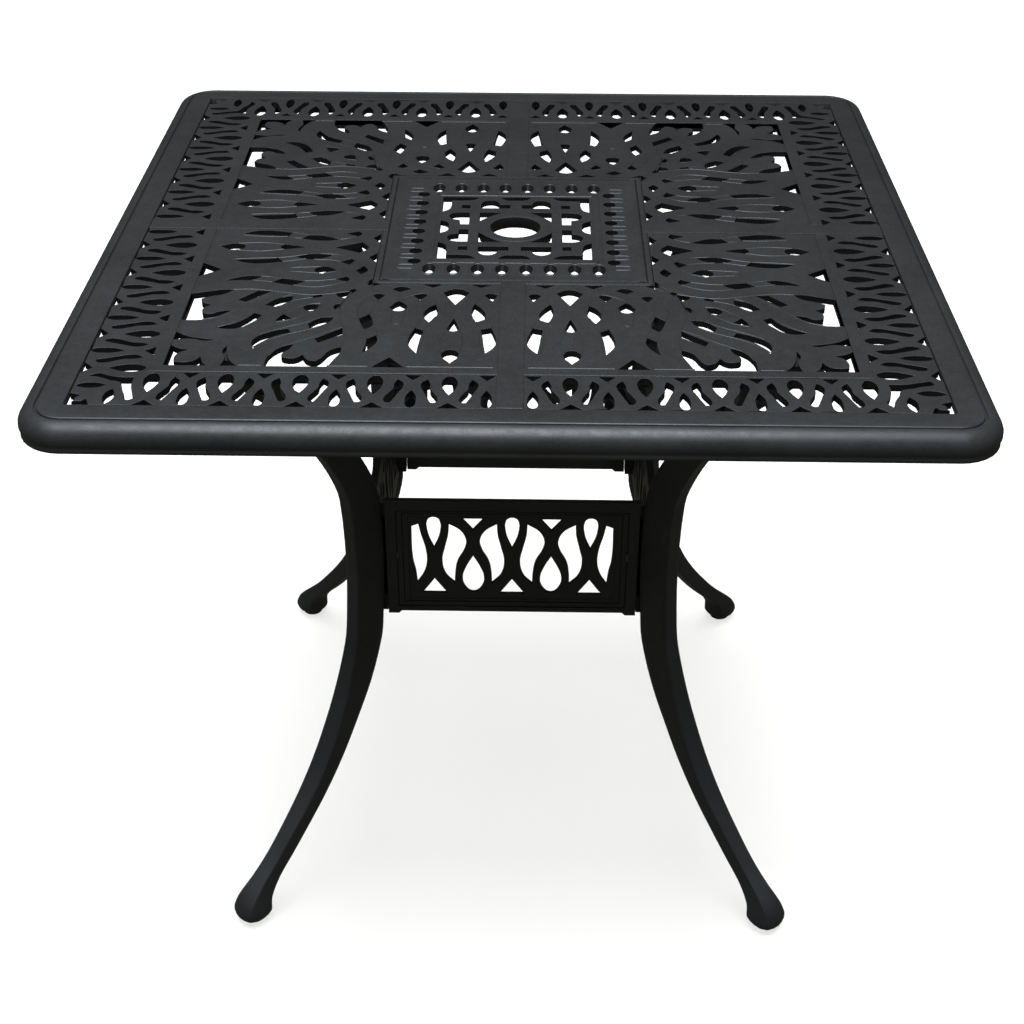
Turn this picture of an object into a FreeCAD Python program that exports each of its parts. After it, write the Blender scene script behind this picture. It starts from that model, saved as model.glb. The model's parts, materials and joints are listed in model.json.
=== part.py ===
import FreeCAD, Part
import math
import os

# Square cast aluminium patio table with a hole for an umbrella pole.
# Millimetres, Z up, origin on the floor under the middle of the table.

V = FreeCAD.Vector

# Overall size
TABLE_SIDE = 864.0
TABLE_HEIGHT = 737.0

# Rim of the top: a flat band with a rounded nose, hollow underneath
RIM_BAND = 43.2
RIM_THICKNESS = 30.0
RIM_CORNER_R = 48.0
RIM_PLATE = 8.0
RIM_LIP = 12.0
NOSE_FLATS = 6

# Ribs that divide the top
BORDER_WIDTH = 59.3
DIVIDER_WIDTH = 12.7
CROSS_RIB_WIDTH = 25.0
RIB_DEPTH = 12.0

# Openwork panels, a little sunk between the ribs
PANEL_SINK = 0.8
BORDER_THICKNESS = 7.2
FAN_THICKNESS = 5.0
CENTRE_SIDE = 275.0
CENTRE_BEAD_INSET = 5.0
CENTRE_BEAD_WIDTH = 2.0

# Centre panel: rows of drain holes round a fret that holds the umbrella ring
HOLES_PER_SIDE = 8
HOLE_PITCH = 24.7
HOLE_R = 6.0
HOLE_SIDES = 8
HOLE_ROW = 105.0
SLOT_LENGTH = 22.0
FRET_SIDE = 160.4
FRET_BAR_IN = 38.0
RING_R = 38.5
POLE_HOLE_R = 26.7
RING_DEPTH = 13.0

# Legs
LEG_TOP_INSET = 46.8
LEG_WAIST_REACH = 161.0
LEG_FOOT_REACH = 299.0
LEG_WAIST_WIDTH = 22.0
LEG_WAIST_DEPTH = 38.5
FLANGE_LENGTH = 66.0
FLANGE_WIDTH = 40.0
FLANGE_THICKNESS = 9.0
BOSS_THICKNESS = 8.0
LEG_STATIONS = [0.0, 0.019, 0.054, 0.11, 0.165, 0.22, 0.285, 0.35, 0.43, 0.56, 0.68, 0.75, 0.87, 1.0]

# Aprons between the legs
APRON_HEIGHT = 146.0
APRON_THICKNESS = 8.0
APRON_SETBACK = 5.0
APRON_GAP = 1.5
APRON_FRAME_SIDE = 28.0
APRON_FRAME_TOP = 23.0
APRON_FRAME_BOTTOM = 22.0
APRON_MOULDING_SIDE = 12.0
APRON_MOULDING_TOP = 12.0
APRON_MOULDING_BOTTOM = 5.5
APRON_STEP = 1.5
APRON_FOOT_HEIGHT = 3.5
APRON_FOOT_WIDTH = 11.5

# Lugs on the legs that carry the aprons
LUG_THICKNESS = 10.0
LUG_LENGTH = 34.0
LUG_HEIGHT = 104.0
LUG_ROOT_INSET = 8.0
LUG_ROOT_MARGIN = 0.5

# Screws
SCREW_R = 4.0
SCREW_HEAD_R = 6.5
SCREW_HEAD_HEIGHT = 5.3
SCREW_CLEARANCE = 0.3
SCREW_ENGAGEMENT = 9.0
LEG_SCREW_SPACING = 45.0
APRON_SCREW_ENGAGEMENT = 5.5
SCREW_SIDES = 6

# Levelling glides
GLIDE_SETBACK = 2.5
GLIDE_R = 14.0
GLIDE_HEIGHT = 8.0
GLIDE_GAP = 0.3
GLIDE_WALL = 2.0
GLIDE_BEVEL = 2.5
STUD_R = 4.0
STUD_FLANGE_R = 7.0
STUD_FLANGE_HEIGHT = 2.5
STUD_LENGTH = 18.0
STUD_PLAY = 0.3
STUD_SIDES = 8
GLIDE_SIDES = 12

# Places worked out from the sizes
half = TABLE_SIDE / 2
border_out = half - RIM_BAND
border_in = border_out - BORDER_WIDTH
panel_half = border_in - DIVIDER_WIDTH
rib_half = CROSS_RIB_WIDTH / 2
centre_half = CENTRE_SIDE / 2
panel_top = TABLE_HEIGHT - PANEL_SINK
fan_bottom = panel_top - FAN_THICKNESS
boss_bottom = fan_bottom - BOSS_THICKNESS
leg_bottom = GLIDE_HEIGHT + GLIDE_GAP
leg_length = boss_bottom - leg_bottom
leg_top_reach = panel_half - LEG_TOP_INSET
apron_reach = LEG_WAIST_REACH - APRON_SETBACK


def face(points, z=0.0):
    """Flat face inside a closed outline of (x, y) points."""
    corners = [V(x, y, z) for x, y in points]
    return Part.Face(Part.makePolygon(corners + corners[:1]))


def prism(points, low, high):
    """Straight solid on a closed outline, from one height to another."""
    return face(points, low).extrude(V(0, 0, high - low))


def box(x0, x1, y0, y1, z0, z1):
    """Box between two corners."""
    return Part.makeBox(x1 - x0, y1 - y0, z1 - z0, V(x0, y0, z0))


def rounded_square(reach, corner_r, z):
    """Closed outline of a square with rounded corners, about the Z axis."""
    edges = []
    straight = reach - corner_r
    diagonal = straight + corner_r * math.sqrt(0.5)
    for quarter in range(4):
        side = Part.LineSegment(V(reach, -straight, z), V(reach, straight, z))
        corner = Part.Arc(V(reach, straight, z), V(diagonal, diagonal, z), V(straight, reach, z))
        edges += [turned(side.toShape(), quarter), turned(corner.toShape(), quarter)]
    return Part.Wire(edges)


def square_prism(reach, low, high, corner_r=0.0):
    """Square block about the Z axis, with its upright edges rounded."""
    if corner_r <= 0:
        return box(-reach, reach, -reach, reach, low, high)
    outline = rounded_square(reach, corner_r, low)
    return Part.Face(outline).extrude(V(0, 0, high - low))


def rod(radius, length, base, axis=V(0, 0, 1), sides=SCREW_SIDES):
    """Small round bar or hole cutter with a few flats that just enclose the radius."""
    reach = radius / math.cos(math.pi / sides)
    angles = [2 * math.pi * (side + 0.5) / sides for side in range(sides)]
    bar = prism([(reach * math.cos(a), reach * math.sin(a)) for a in angles], 0, length)
    bar.Placement = FreeCAD.Placement(base, FreeCAD.Rotation(V(0, 0, 1), axis))
    return bar


def turned(shape, quarter):
    """Copy of a shape, turned about the table's axis by quarter turns."""
    copy = shape.copy()
    copy.rotate(V(0, 0, 0), V(0, 0, 1), 90 * quarter)
    return copy


def save(shape, name):
    """Write the solids of one piece or group of like pieces."""
    solids = shape.Solids
    out = solids[0] if len(solids) == 1 else Part.makeCompound(solids)
    out.exportStep("parts/" + name + ".step")
    print(name, len(solids), "solid(s)", round(out.Volume / 1000, 1), "cm3", out.isValid())


# Frame of the top: rim, cross ribs and dividers, cast apart, then welded and ground flush

def rim():
    """Rounded square rim with a half-round nose, hollow beneath."""
    low = TABLE_HEIGHT - RIM_THICKNESS
    nose_r = RIM_THICKNESS / 2
    levels = []
    for flat in range(NOSE_FLATS + 1):
        angle = math.pi * (flat / NOSE_FLATS - 0.5)
        inset = nose_r * (1 - math.cos(angle))
        z = low + nose_r * (1 + math.sin(angle))
        levels.append(rounded_square(half - inset, RIM_CORNER_R - inset, z))
    slab = Part.makeLoft(levels, True, True)
    pocket_r = RIM_CORNER_R - RIM_LIP
    pocket = square_prism(half - RIM_LIP, low - 1, TABLE_HEIGHT - RIM_PLATE, pocket_r)
    window = square_prism(border_out, low - 1, TABLE_HEIGHT + 1)
    return slab.cut(pocket).cut(window)


def cross_rib():
    """Rib on the +Y side, from the centre panel to the rim, with a foot under the rim's plate."""
    low = TABLE_HEIGHT - RIB_DEPTH
    rib = box(-rib_half, rib_half, centre_half, border_out, low, TABLE_HEIGHT)
    foot = box(-rib_half, rib_half, border_out, half - RIM_LIP, low, TABLE_HEIGHT - RIM_PLATE)
    return rib.fuse(foot)


def divider():
    """L-shaped rib between the fan panel and the border of one quarter."""
    low = TABLE_HEIGHT - RIB_DEPTH
    outline = [(rib_half, panel_half), (panel_half, panel_half), (panel_half, rib_half)]
    outline += [(border_in, rib_half), (border_in, border_in), (rib_half, border_in)]
    return prism(outline, low, TABLE_HEIGHT)


# Openwork of the four fan panels. Outlines are (across, outward) from the table's
# centre lines, for the eighth of the top next to a cross rib; the rest is mirrored.
# They are drawn for a top of this pattern size and follow the ribs when those move.
PATTERN_RIB = 12.5
PATTERN_CENTRE = 137.5
PATTERN_EDGE = 316.8

FAN_SIDE = [
    # kites along the centre panel
    [(15, 165), (22, 162), (28, 166), (20, 179)],
    [(43, 160), (56, 152), (69, 160), (56, 187)],
    [(101, 153), (111, 148), (120, 154), (112, 160)],
    # slanted leaves on both sides of the first spindle
    [(37, 185), (39, 208), (34, 224), (26, 213)],
    [(20, 236), (29, 238), (23, 287), (14, 264)],
    [(75, 187), (86, 213), (79, 225), (73, 207)],
    [(83, 242), (92, 236), (98, 262), (88, 288)],
    # spindle openings
    [(56, 216), (62, 239), (50, 239)],
    [(48, 290), (56, 280), (64, 290), (56, 307)],
    [(111, 180), (119, 194), (111, 202), (103, 194)],
    # slanted leaves and gable beyond the second spindle
    [(138, 210), (147, 219), (140, 241), (132, 231)],
    [(126, 254), (135, 260), (138, 288), (130, 276)],
    [(96, 318), (112, 296), (128, 318)],
    # ladder of openings that fans out to the corner
    [(157, 153), (172, 162), (167, 178), (153, 162)],
    [(171, 217), (185, 218), (195, 231), (191, 241)],
    [(161, 238), (185, 261), (181, 269), (159, 252)],
    [(213, 241), (235, 251), (244, 266), (240, 283), (230, 263), (210, 250)],
    [(160, 277), (175, 296), (174, 318), (168, 318)],
    # flower opening at the dividing rib
    [(204, 274), (220, 290), (225, 318), (176, 318), (192, 295), (203, 300), (212, 294)],
    # thorn and corner leaf
    [(265, 276), (265, 302), (267, 318), (250, 318)],
    [(285, 299), (292, 309), (306, 311), (306, 318), (275, 318)],
    [(299, 286), (318, 279), (318, 318), (307, 318), (307, 300)],
]
FAN_DIAGONAL = [[(188, 188), (204, 195), (205, 205), (195, 204)]]


def follow(value):
    """Move a pattern coordinate with the ribs, the centre panel and the divider."""
    if value <= PATTERN_CENTRE:
        share = (value - PATTERN_RIB) / (PATTERN_CENTRE - PATTERN_RIB)
        return rib_half + share * (centre_half - rib_half)
    share = (value - PATTERN_CENTRE) / (PATTERN_EDGE - PATTERN_CENTRE)
    return centre_half + share * (panel_half - centre_half)


def followed(outline):
    """Outline of an opening at its place in this table."""
    return [(follow(a), follow(b)) for a, b in outline]


def mirrored(outline):
    """Outline mirrored about the diagonal."""
    return [(b, a) for a, b in outline]


def fan_outline():
    """Area of one quarter between ribs, divider and centre panel."""
    return [
        (rib_half, centre_half),
        (centre_half, centre_half),
        (centre_half, rib_half),
        (panel_half, rib_half),
        (panel_half, panel_half),
        (rib_half, panel_half),
    ]


def openwork(outline, openings, low, high):
    """Plate on an outline with straight-walled openings through it."""
    holes = Part.makeCompound([face(points, low) for points in openings])
    return face(outline, low).cut(holes).extrude(V(0, 0, high - low))


def fan_panel():
    """Openwork quarter with the boss that its leg is screwed to."""
    openings = [followed(o) for o in FAN_SIDE]
    openings += [mirrored(o) for o in openings]
    openings += [followed(o) for o in FAN_DIAGONAL]
    plate = openwork(fan_outline(), openings, fan_bottom, panel_top)
    boss = flange_block(boss_bottom, fan_bottom)
    boss = boss.cut(leg_screw_holes(SCREW_R, boss_bottom, boss_bottom + SCREW_ENGAGEMENT))
    plate = plate.cut(leg_screw_holes(SCREW_R, boss_bottom, boss_bottom + SCREW_ENGAGEMENT))
    return plate.fuse(boss)


# Border lattice: one L-shaped casting round each corner
BORDER_PATTERN = 59.3
BORDER_TARGET_PITCH = 67.0
TRIANGLE_HALF = 8.0
EYE_HALF = 7.0
EYE_MARGIN = 0.5

# One pitch of the border, (along, outward) from the middle of an inner triangle
BORDER_CELL = [
    [(0, 30), (5, 47), (0, 60), (-5, 47)],
    [(12.5, 9.5), (7.5, 18), (17.5, 50.5), (23.5, 43)],
    [(54.5, 9.5), (59.5, 18), (49.5, 50.5), (43.5, 43)],
    [(33.5, 2), (40.5, 17), (33.5, 36), (26.5, 17)],
    [(23.5, 60), (33.5, 51), (43.5, 60)],
]
# Corner of the border, measured from the inner corner
BORDER_CORNER = [
    [(25, 30), (32, 50), (26, 60), (20, 50)],
    [(40, 53), (52, 53), (46, 60), (40, 60)],
]
BORDER_CORNER_DIAGONAL = [
    [(9, 9), (44, 4), (49, 9), (31, 18), (18, 31), (9, 49), (4, 44)],
    [(51, 60), (51, 56), (56, 51), (60, 51), (60, 60)],
]


def border_openings():
    """Openings of the strip between a cross rib and the corner."""
    scale = BORDER_WIDTH / BORDER_PATTERN
    first = rib_half + TRIANGLE_HALF
    last = border_in - EYE_HALF - EYE_MARGIN
    cells = round((last - first) / BORDER_TARGET_PITCH - 0.5)
    pitch = (last - first) / (cells + 0.5)
    stretch = pitch / BORDER_TARGET_PITCH
    openings = []
    for cell in range(cells + 1):
        start = first + cell * pitch
        for outline in BORDER_CELL:
            placed = [(start + a * stretch, border_in + b * scale) for a, b in outline]
            if max(a for a, b in placed) < border_in + EYE_MARGIN + EYE_HALF:
                openings.append(placed)
    return openings


def corner_openings(outlines):
    """Openings of the corner square of the border."""
    scale = BORDER_WIDTH / BORDER_PATTERN
    return [[(border_in + a * scale, border_in + b * scale) for a, b in o] for o in outlines]


def border_outline():
    """L-shaped area between the divider and the rim."""
    return [
        (rib_half, border_in),
        (border_in, border_in),
        (border_in, rib_half),
        (border_out, rib_half),
        (border_out, border_out),
        (rib_half, border_out),
    ]


def border_lattice():
    """Openwork strip round one corner of the top."""
    openings = border_openings() + corner_openings(BORDER_CORNER)
    openings += [mirrored(o) for o in openings]
    openings += corner_openings(BORDER_CORNER_DIAGONAL)
    return openwork(border_outline(), openings, panel_top - BORDER_THICKNESS, panel_top)


# Centre panel
FRET_PATTERN = 80.2
# Openings of the fret, (along, outward) for the half side right of a centre line
FRET_SIDE_OPENINGS = [
    [(6.5, 50), (38, 50), (38, 62), (34, 70), (23, 70), (17, 60), (6.5, 60)],
    [(49, 50), (59, 50), (59, 59), (49, 59)],
]
FRET_MIDDLE_OPENING = [(-17, 81), (-12, 72), (12, 72), (17, 81)]
FRET_CORNER_OPENING = [(40, 81), (48, 71), (71, 71), (71, 48), (81, 40), (81, 81)]


def drain_slots():
    """Rows of drain holes: long ones front and back, short ones at the sides."""
    low = fan_bottom - 1
    height = FAN_THICKNESS + 2
    stretch = SLOT_LENGTH / (2 * HOLE_R)
    cutters = []
    for index in range(HOLES_PER_SIDE):
        place = (index - (HOLES_PER_SIDE - 1) / 2) * HOLE_PITCH
        for side in (-1, 1):
            hole = rod(HOLE_R, height, V(side * HOLE_ROW, place, low), sides=HOLE_SIDES)
            slot = [(place + x, side * HOLE_ROW + y * stretch) for x, y in hole_outline()]
            cutters += [hole, prism(slot, low, low + height)]
    return cutters


def hole_outline():
    """Outline of a drain hole about its own middle."""
    reach = HOLE_R / math.cos(math.pi / HOLE_SIDES)
    angles = [2 * math.pi * (side + 0.5) / HOLE_SIDES for side in range(HOLE_SIDES)]
    return [(reach * math.cos(a), reach * math.sin(a)) for a in angles]


def fret_openings():
    """Every opening of the fret round the umbrella ring."""
    scale = FRET_SIDE / 2 / FRET_PATTERN
    eighth = FRET_SIDE_OPENINGS
    side = eighth + [[(-a, b) for a, b in o] for o in eighth]
    side += [FRET_MIDDLE_OPENING, FRET_CORNER_OPENING]
    openings = []
    for quarter in range(4):
        for outline in side:
            turned_outline = quarter_turns(outline, quarter)
            openings.append([(x * scale, y * scale) for x, y in turned_outline])
    return openings


def quarter_turns(outline, quarter):
    """Outline turned about the origin by quarter turns."""
    for _ in range(quarter):
        outline = [(-y, x) for x, y in outline]
    return outline


def centre_panel():
    """Square plate with drain holes, a fret and the seat of the umbrella ring."""
    plate = square_prism(centre_half, fan_bottom, panel_top)
    bead_out = centre_half - CENTRE_BEAD_INSET
    bead = square_prism(bead_out, panel_top, TABLE_HEIGHT)
    bead = bead.cut(square_prism(bead_out - CENTRE_BEAD_WIDTH, panel_top, TABLE_HEIGHT))
    fret = [prism(o, fan_bottom - 1, panel_top + 1) for o in fret_openings()]
    well = square_prism(FRET_BAR_IN, fan_bottom - 1, panel_top + 1)
    ring = Part.makeCylinder(RING_R, RING_DEPTH, V(0, 0, panel_top - RING_DEPTH))
    bore = Part.makeCylinder(POLE_HOLE_R, RING_DEPTH + 2, V(0, 0, panel_top - RING_DEPTH - 1))
    plate = plate.cut(drain_slots() + fret + [well])
    return plate.fuse([ring, bead]).cut(bore)


# Legs: each lies in the upright plane through a corner of the table. It is made in
# the plane Y = 0, reaching along X, and then turned to its corner.
# Shape of the leg's middle line: share of the height and share of the reach beyond
# the waist, towards the foot below the waist and towards the top above it.
WAIST_SHARE = 0.566
LEG_LINE_BELOW = [(0.0, 1.0), (0.054, 0.88), (0.11, 0.7), (0.222, 0.388), (0.348, 0.138), (0.46, 0.022)]
LEG_LINE_ABOVE = [(0.682, 0.024), (0.7235, 0.083), (0.8235, 0.345), (0.921, 0.7), (1.0, 1.0)]
# Shares of the height with the width and depth there, as shares of the waist's
LEG_SIZES = [
    (0.0, 1.7, 0.98),
    (0.019, 1.45, 0.75),
    (0.054, 0.93, 0.66),
    (0.11, 0.75, 0.6),
    (0.22, 0.93, 0.5),
    (0.35, 1.0, 0.8),
    (0.43, 1.0, 0.98),
    (0.6, 1.0, 1.0),
    (1.0, 1.0, 1.0),
]
LEG_CORNER = 0.2
ROOT2 = math.sqrt(2)

waist_z = leg_bottom + WAIST_SHARE * leg_length


def leg_line():
    """Smooth middle line of a leg, from foot to top, in its own plane."""
    points = []
    for height, share in LEG_LINE_BELOW:
        reach = LEG_WAIST_REACH + share * (LEG_FOOT_REACH - LEG_WAIST_REACH)
        points.append((height, reach))
    points.append((WAIST_SHARE, LEG_WAIST_REACH))
    for height, share in LEG_LINE_ABOVE:
        reach = LEG_WAIST_REACH + share * (leg_top_reach - LEG_WAIST_REACH)
        points.append((height, reach))
    curve = Part.BSplineCurve()
    curve.interpolate([V(r * ROOT2, 0, leg_bottom + h * leg_length) for h, r in points])
    return curve


def leg_size(height):
    """Width and depth of the leg at a share of its height."""
    for low, high in zip(LEG_SIZES, LEG_SIZES[1:]):
        if height <= high[0]:
            break
    t = (height - low[0]) / (high[0] - low[0])
    width = low[1] + t * (high[1] - low[1])
    depth = low[2] + t * (high[2] - low[2])
    return width * LEG_WAIST_WIDTH, depth * LEG_WAIST_DEPTH


def leg_section(centre, width, depth):
    """Level six-sided section of a leg, its outer corners cut."""
    w = width / 2
    d = depth / 2
    c = LEG_CORNER * min(width, depth)
    outline = [(d, c - w), (d, w - c), (d - c, w), (-d, w), (-d, -w), (d - c, -w)]
    points = [V(centre.x + x, y, centre.z) for x, y in outline]
    return Part.makePolygon(points + points[:1])


def leg_body():
    """Curved leg lofted through level sections along its middle line."""
    curve = leg_line()
    sections = []
    for height in LEG_STATIONS:
        centre = point_at_height(curve, leg_bottom + height * leg_length)
        width, depth = leg_size(height)
        sections.append(leg_section(centre, width, depth))
    return Part.makeLoft(sections, True, True)


def point_at_height(curve, z):
    """Point of the middle line at a height, by halving."""
    low = curve.FirstParameter
    high = curve.LastParameter
    for _ in range(40):
        middle = (low + high) / 2
        if curve.value(middle).z < z:
            low = middle
        else:
            high = middle
    return curve.value(low)


def flange_block(low, high):
    """Pad with cut corners across the top of the first leg."""
    reach = leg_top_reach * ROOT2
    w = FLANGE_WIDTH / 2
    run = FLANGE_LENGTH / 2
    end = run - w
    outline = [(w, end), (w / 2, run), (-w / 2, run), (-w, end)]
    outline += [(-a, -b) for a, b in outline]
    pad = prism([(reach + a, b) for a, b in outline], low, high)
    pad.rotate(V(0, 0, 0), V(0, 0, 1), 45)
    return pad


def leg_screw_places():
    """Where the two screws of the first leg stand."""
    reach = leg_top_reach * ROOT2
    turn = FreeCAD.Rotation(V(0, 0, 1), 45)
    offset = LEG_SCREW_SPACING / 2
    return [turn.multVec(V(reach, side * offset, 0)) for side in (-1, 1)]


def leg_screw_holes(radius, low, high):
    """Upright holes for the screws of the first leg."""
    holes = []
    for place in leg_screw_places():
        holes.append(rod(radius, high - low, V(place.x, place.y, low)))
    return holes


def apron_end():
    """Where an apron stops short of the leg's edge."""
    edge = LEG_WAIST_REACH - (LEG_WAIST_DEPTH + LEG_WAIST_WIDTH) / 2 / ROOT2
    return edge - APRON_GAP


def leg_lug():
    """Inner lug with an arm behind each of the two aprons."""
    low = waist_z - LUG_HEIGHT / 2
    high = waist_z + LUG_HEIGHT / 2
    back = apron_reach - APRON_THICKNESS
    root = LEG_WAIST_REACH - LUG_ROOT_INSET
    inner = apron_end() + LUG_ROOT_MARGIN
    end = apron_end() - LUG_LENGTH + LUG_THICKNESS
    core = box(inner, root, inner, root, low, high)
    arm = box(end, back, back - LUG_THICKNESS, back, low, high)
    other = box(back - LUG_THICKNESS, back, end, back, low, high)
    return core.fuse([arm, other])


def apron_screw_place():
    """Start of the screw through the lug arm behind the apron on the +Y side."""
    across = apron_end() - (LUG_LENGTH - LUG_THICKNESS) / 2
    return V(across, apron_reach - APRON_THICKNESS - LUG_THICKNESS, waist_z)


def apron_screw_hole(radius, depth):
    """Hole from the lug arm's inner face into an apron."""
    return rod(radius, depth, apron_screw_place(), V(0, 1, 0))


def leg():
    """Leg at the +X +Y corner with its top flange, apron lug and glide bore."""
    body = leg_body()
    body.rotate(V(0, 0, 0), V(0, 0, 1), 45)
    flange = flange_block(boss_bottom - FLANGE_THICKNESS, boss_bottom)
    body = body.fuse([flange, leg_lug()])
    hole_r = SCREW_R + SCREW_CLEARANCE
    body = body.cut(leg_screw_holes(hole_r, boss_bottom - FLANGE_THICKNESS, boss_bottom))
    head_low = boss_bottom - FLANGE_THICKNESS - 3 * SCREW_HEAD_HEIGHT
    head_r = SCREW_HEAD_R + SCREW_CLEARANCE
    body = body.cut(leg_screw_holes(head_r, head_low, boss_bottom - FLANGE_THICKNESS))
    hole = apron_screw_hole(hole_r, LUG_THICKNESS)
    body = body.cut([hole, hole.mirror(V(0, 0, 0), V(1, -1, 0))])
    foot = V(foot_place(), foot_place(), leg_bottom)
    bore = rod(STUD_R + STUD_PLAY, STUD_LENGTH, foot, sides=STUD_SIDES)
    return body.cut(bore)


def foot_place():
    """X and Y of the glide under the first leg."""
    return LEG_FOOT_REACH - GLIDE_SETBACK


# Aprons: openwork plates between the legs. Drawn as (along, up) outlines on the
# front face, with the cell's middle on a teardrop that points down.
APRON_PATTERN_PITCH = 85.0
APRON_PATTERN_WIDTH = 218.5
APRON_PATTERN_HEIGHT = 101.0
TEARDROP_DOWN = [(-4, 101), (4, 101), (7.5, 84), (0, 62), (-7.5, 84)]
TEARDROP_UP = [(42.5, 51.5), (53.5, 29), (52, 12), (42.5, 2), (33, 12), (31.5, 29)]
GABLE_DOWN = [(30.2, 101), (54.8, 101), (42.5, 85.5)]
GABLE_UP = [(0, 20.5), (-14.2, 0), (14.2, 0)]
S_OPENING = [(16.6, 93.5), (32, 79), (33.5, 62), (22, 14.5), (11, 27), (9, 45)]
END_OPENING = [(-16, 93), (-9, 53), (-9.5, 33), (-19, 15), (-23, 40), (-24, 90)]


def apron_openings():
    """All openings of an apron, about the middle of its window."""
    window = 2 * (apron_end() - APRON_FRAME_SIDE)
    window_high = APRON_HEIGHT - APRON_FRAME_TOP - APRON_FRAME_BOTTOM
    sx = window / APRON_PATTERN_WIDTH
    sz = window_high / APRON_PATTERN_HEIGHT
    pitch = APRON_PATTERN_PITCH
    outlines = []
    for step in (-1, 0, 1):
        outlines += [shifted(o, step * pitch) for o in (TEARDROP_DOWN, GABLE_UP)]
    for step in (-1, 0):
        outlines += [shifted(o, step * pitch) for o in (TEARDROP_UP, GABLE_DOWN, S_OPENING)]
        outlines.append([(step * pitch + pitch - a, b) for a, b in S_OPENING])
    outlines.append(shifted(END_OPENING, -pitch))
    outlines.append([(-a, b) for a, b in shifted(END_OPENING, -pitch)])
    low = waist_z - APRON_HEIGHT / 2 + APRON_FRAME_BOTTOM
    return [[(a * sx, low + b * sz) for a, b in o] for o in outlines]


def shifted(outline, along):
    """Outline moved along the apron."""
    return [(a + along, b) for a, b in outline]


def upright_plate(outline, y0, y1):
    """Plate with an (x, z) outline between two Y planes."""
    points = [V(x, y0, z) for x, z in outline]
    return Part.Face(Part.makePolygon(points + points[:1])).extrude(V(0, y1 - y0, 0))


def apron():
    """Apron on the +Y side: stepped frame with the openwork inside."""
    end = apron_end()
    low = waist_z - APRON_HEIGHT / 2
    high = waist_z + APRON_HEIGHT / 2
    back = apron_reach - APRON_THICKNESS
    foot = APRON_FOOT_WIDTH
    outline = [(-end, high), (end, high), (end, low - APRON_FOOT_HEIGHT)]
    outline += [(end - foot, low - APRON_FOOT_HEIGHT), (end - foot - APRON_FOOT_HEIGHT, low)]
    outline += [(-a, b) for a, b in reversed(outline[2:])]
    plate = upright_plate(outline, back, apron_reach)
    for step in (0, 1):
        inset = step * (APRON_FRAME_SIDE - APRON_MOULDING_SIDE) * 3 / 4
        reach = end - APRON_MOULDING_SIDE - inset
        bottom = low + APRON_MOULDING_BOTTOM + inset / 2
        top = high - APRON_MOULDING_TOP - inset / 2
        front = apron_reach - (step + 1) * APRON_STEP
        plate = plate.cut(box(-reach, reach, front, apron_reach + 1, bottom, top))
    cutters = [upright_plate(o, back - 1, apron_reach + 1) for o in apron_openings()]
    plate = plate.cut(cutters)
    blind = LUG_THICKNESS + APRON_SCREW_ENGAGEMENT
    hole = apron_screw_hole(SCREW_R, blind)
    return plate.cut([hole, hole.mirror(V(0, 0, 0), V(1, 0, 0))])


# Fasteners

def hex_screw(head_at, direction, shank_length):
    """Hex screw whose head sits under a face and whose shank runs along a direction."""
    head_low = head_at - direction * SCREW_HEAD_HEIGHT
    head = rod(SCREW_HEAD_R, SCREW_HEAD_HEIGHT, head_low, direction, 6)
    return head.fuse(rod(SCREW_R, shank_length, head_at, direction))


def leg_screws():
    """Two screws from below through each leg flange into the boss above it."""
    length = FLANGE_THICKNESS + SCREW_ENGAGEMENT
    screws = []
    for place in leg_screw_places():
        head_at = V(place.x, place.y, boss_bottom - FLANGE_THICKNESS)
        screws.append(hex_screw(head_at, V(0, 0, 1), length))
    return [turned(s, q) for q in range(4) for s in screws]


def apron_screws():
    """Screws through the lug arms into the ends of the aprons."""
    length = LUG_THICKNESS + APRON_SCREW_ENGAGEMENT
    screw = hex_screw(apron_screw_place(), V(0, 1, 0), length)
    pair = [screw, screw.mirror(V(0, 0, 0), V(1, 0, 0))]
    return [turned(s, q) for q in range(4) for s in pair]


# Levelling glides

def glide_pad():
    """Round pad with bevelled edges, moulded round the flange of its stud."""
    place = V(foot_place(), foot_place(), 0)
    pad = rod(GLIDE_R, GLIDE_HEIGHT, place, sides=GLIDE_SIDES)
    rings = [e for e in pad.Edges if e.BoundBox.ZLength < 0.01]
    pad = pad.makeChamfer(GLIDE_BEVEL, rings)
    seat = place + V(0, 0, GLIDE_WALL)
    flange_reach = STUD_FLANGE_R / math.cos(math.pi / STUD_SIDES)
    cavity_height = STUD_FLANGE_HEIGHT + 2 * STUD_PLAY
    cavity = rod(flange_reach + STUD_PLAY, cavity_height, seat, sides=STUD_SIDES)
    neck = rod(STUD_R + STUD_PLAY, GLIDE_HEIGHT, seat, sides=STUD_SIDES)
    return pad.cut([cavity, neck])


def glide_stud():
    """Stud that screws into the leg, with the flange that turns in its pad."""
    base = V(foot_place(), foot_place(), GLIDE_WALL + STUD_PLAY)
    flange = rod(STUD_FLANGE_R, STUD_FLANGE_HEIGHT, base, sides=STUD_SIDES)
    return flange.fuse(Part.makeCylinder(STUD_R, STUD_LENGTH, base))


CORNERS = ["back_right", "back_left", "front_left", "front_right"]
SIDES = ["back", "left", "front", "right"]


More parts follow.
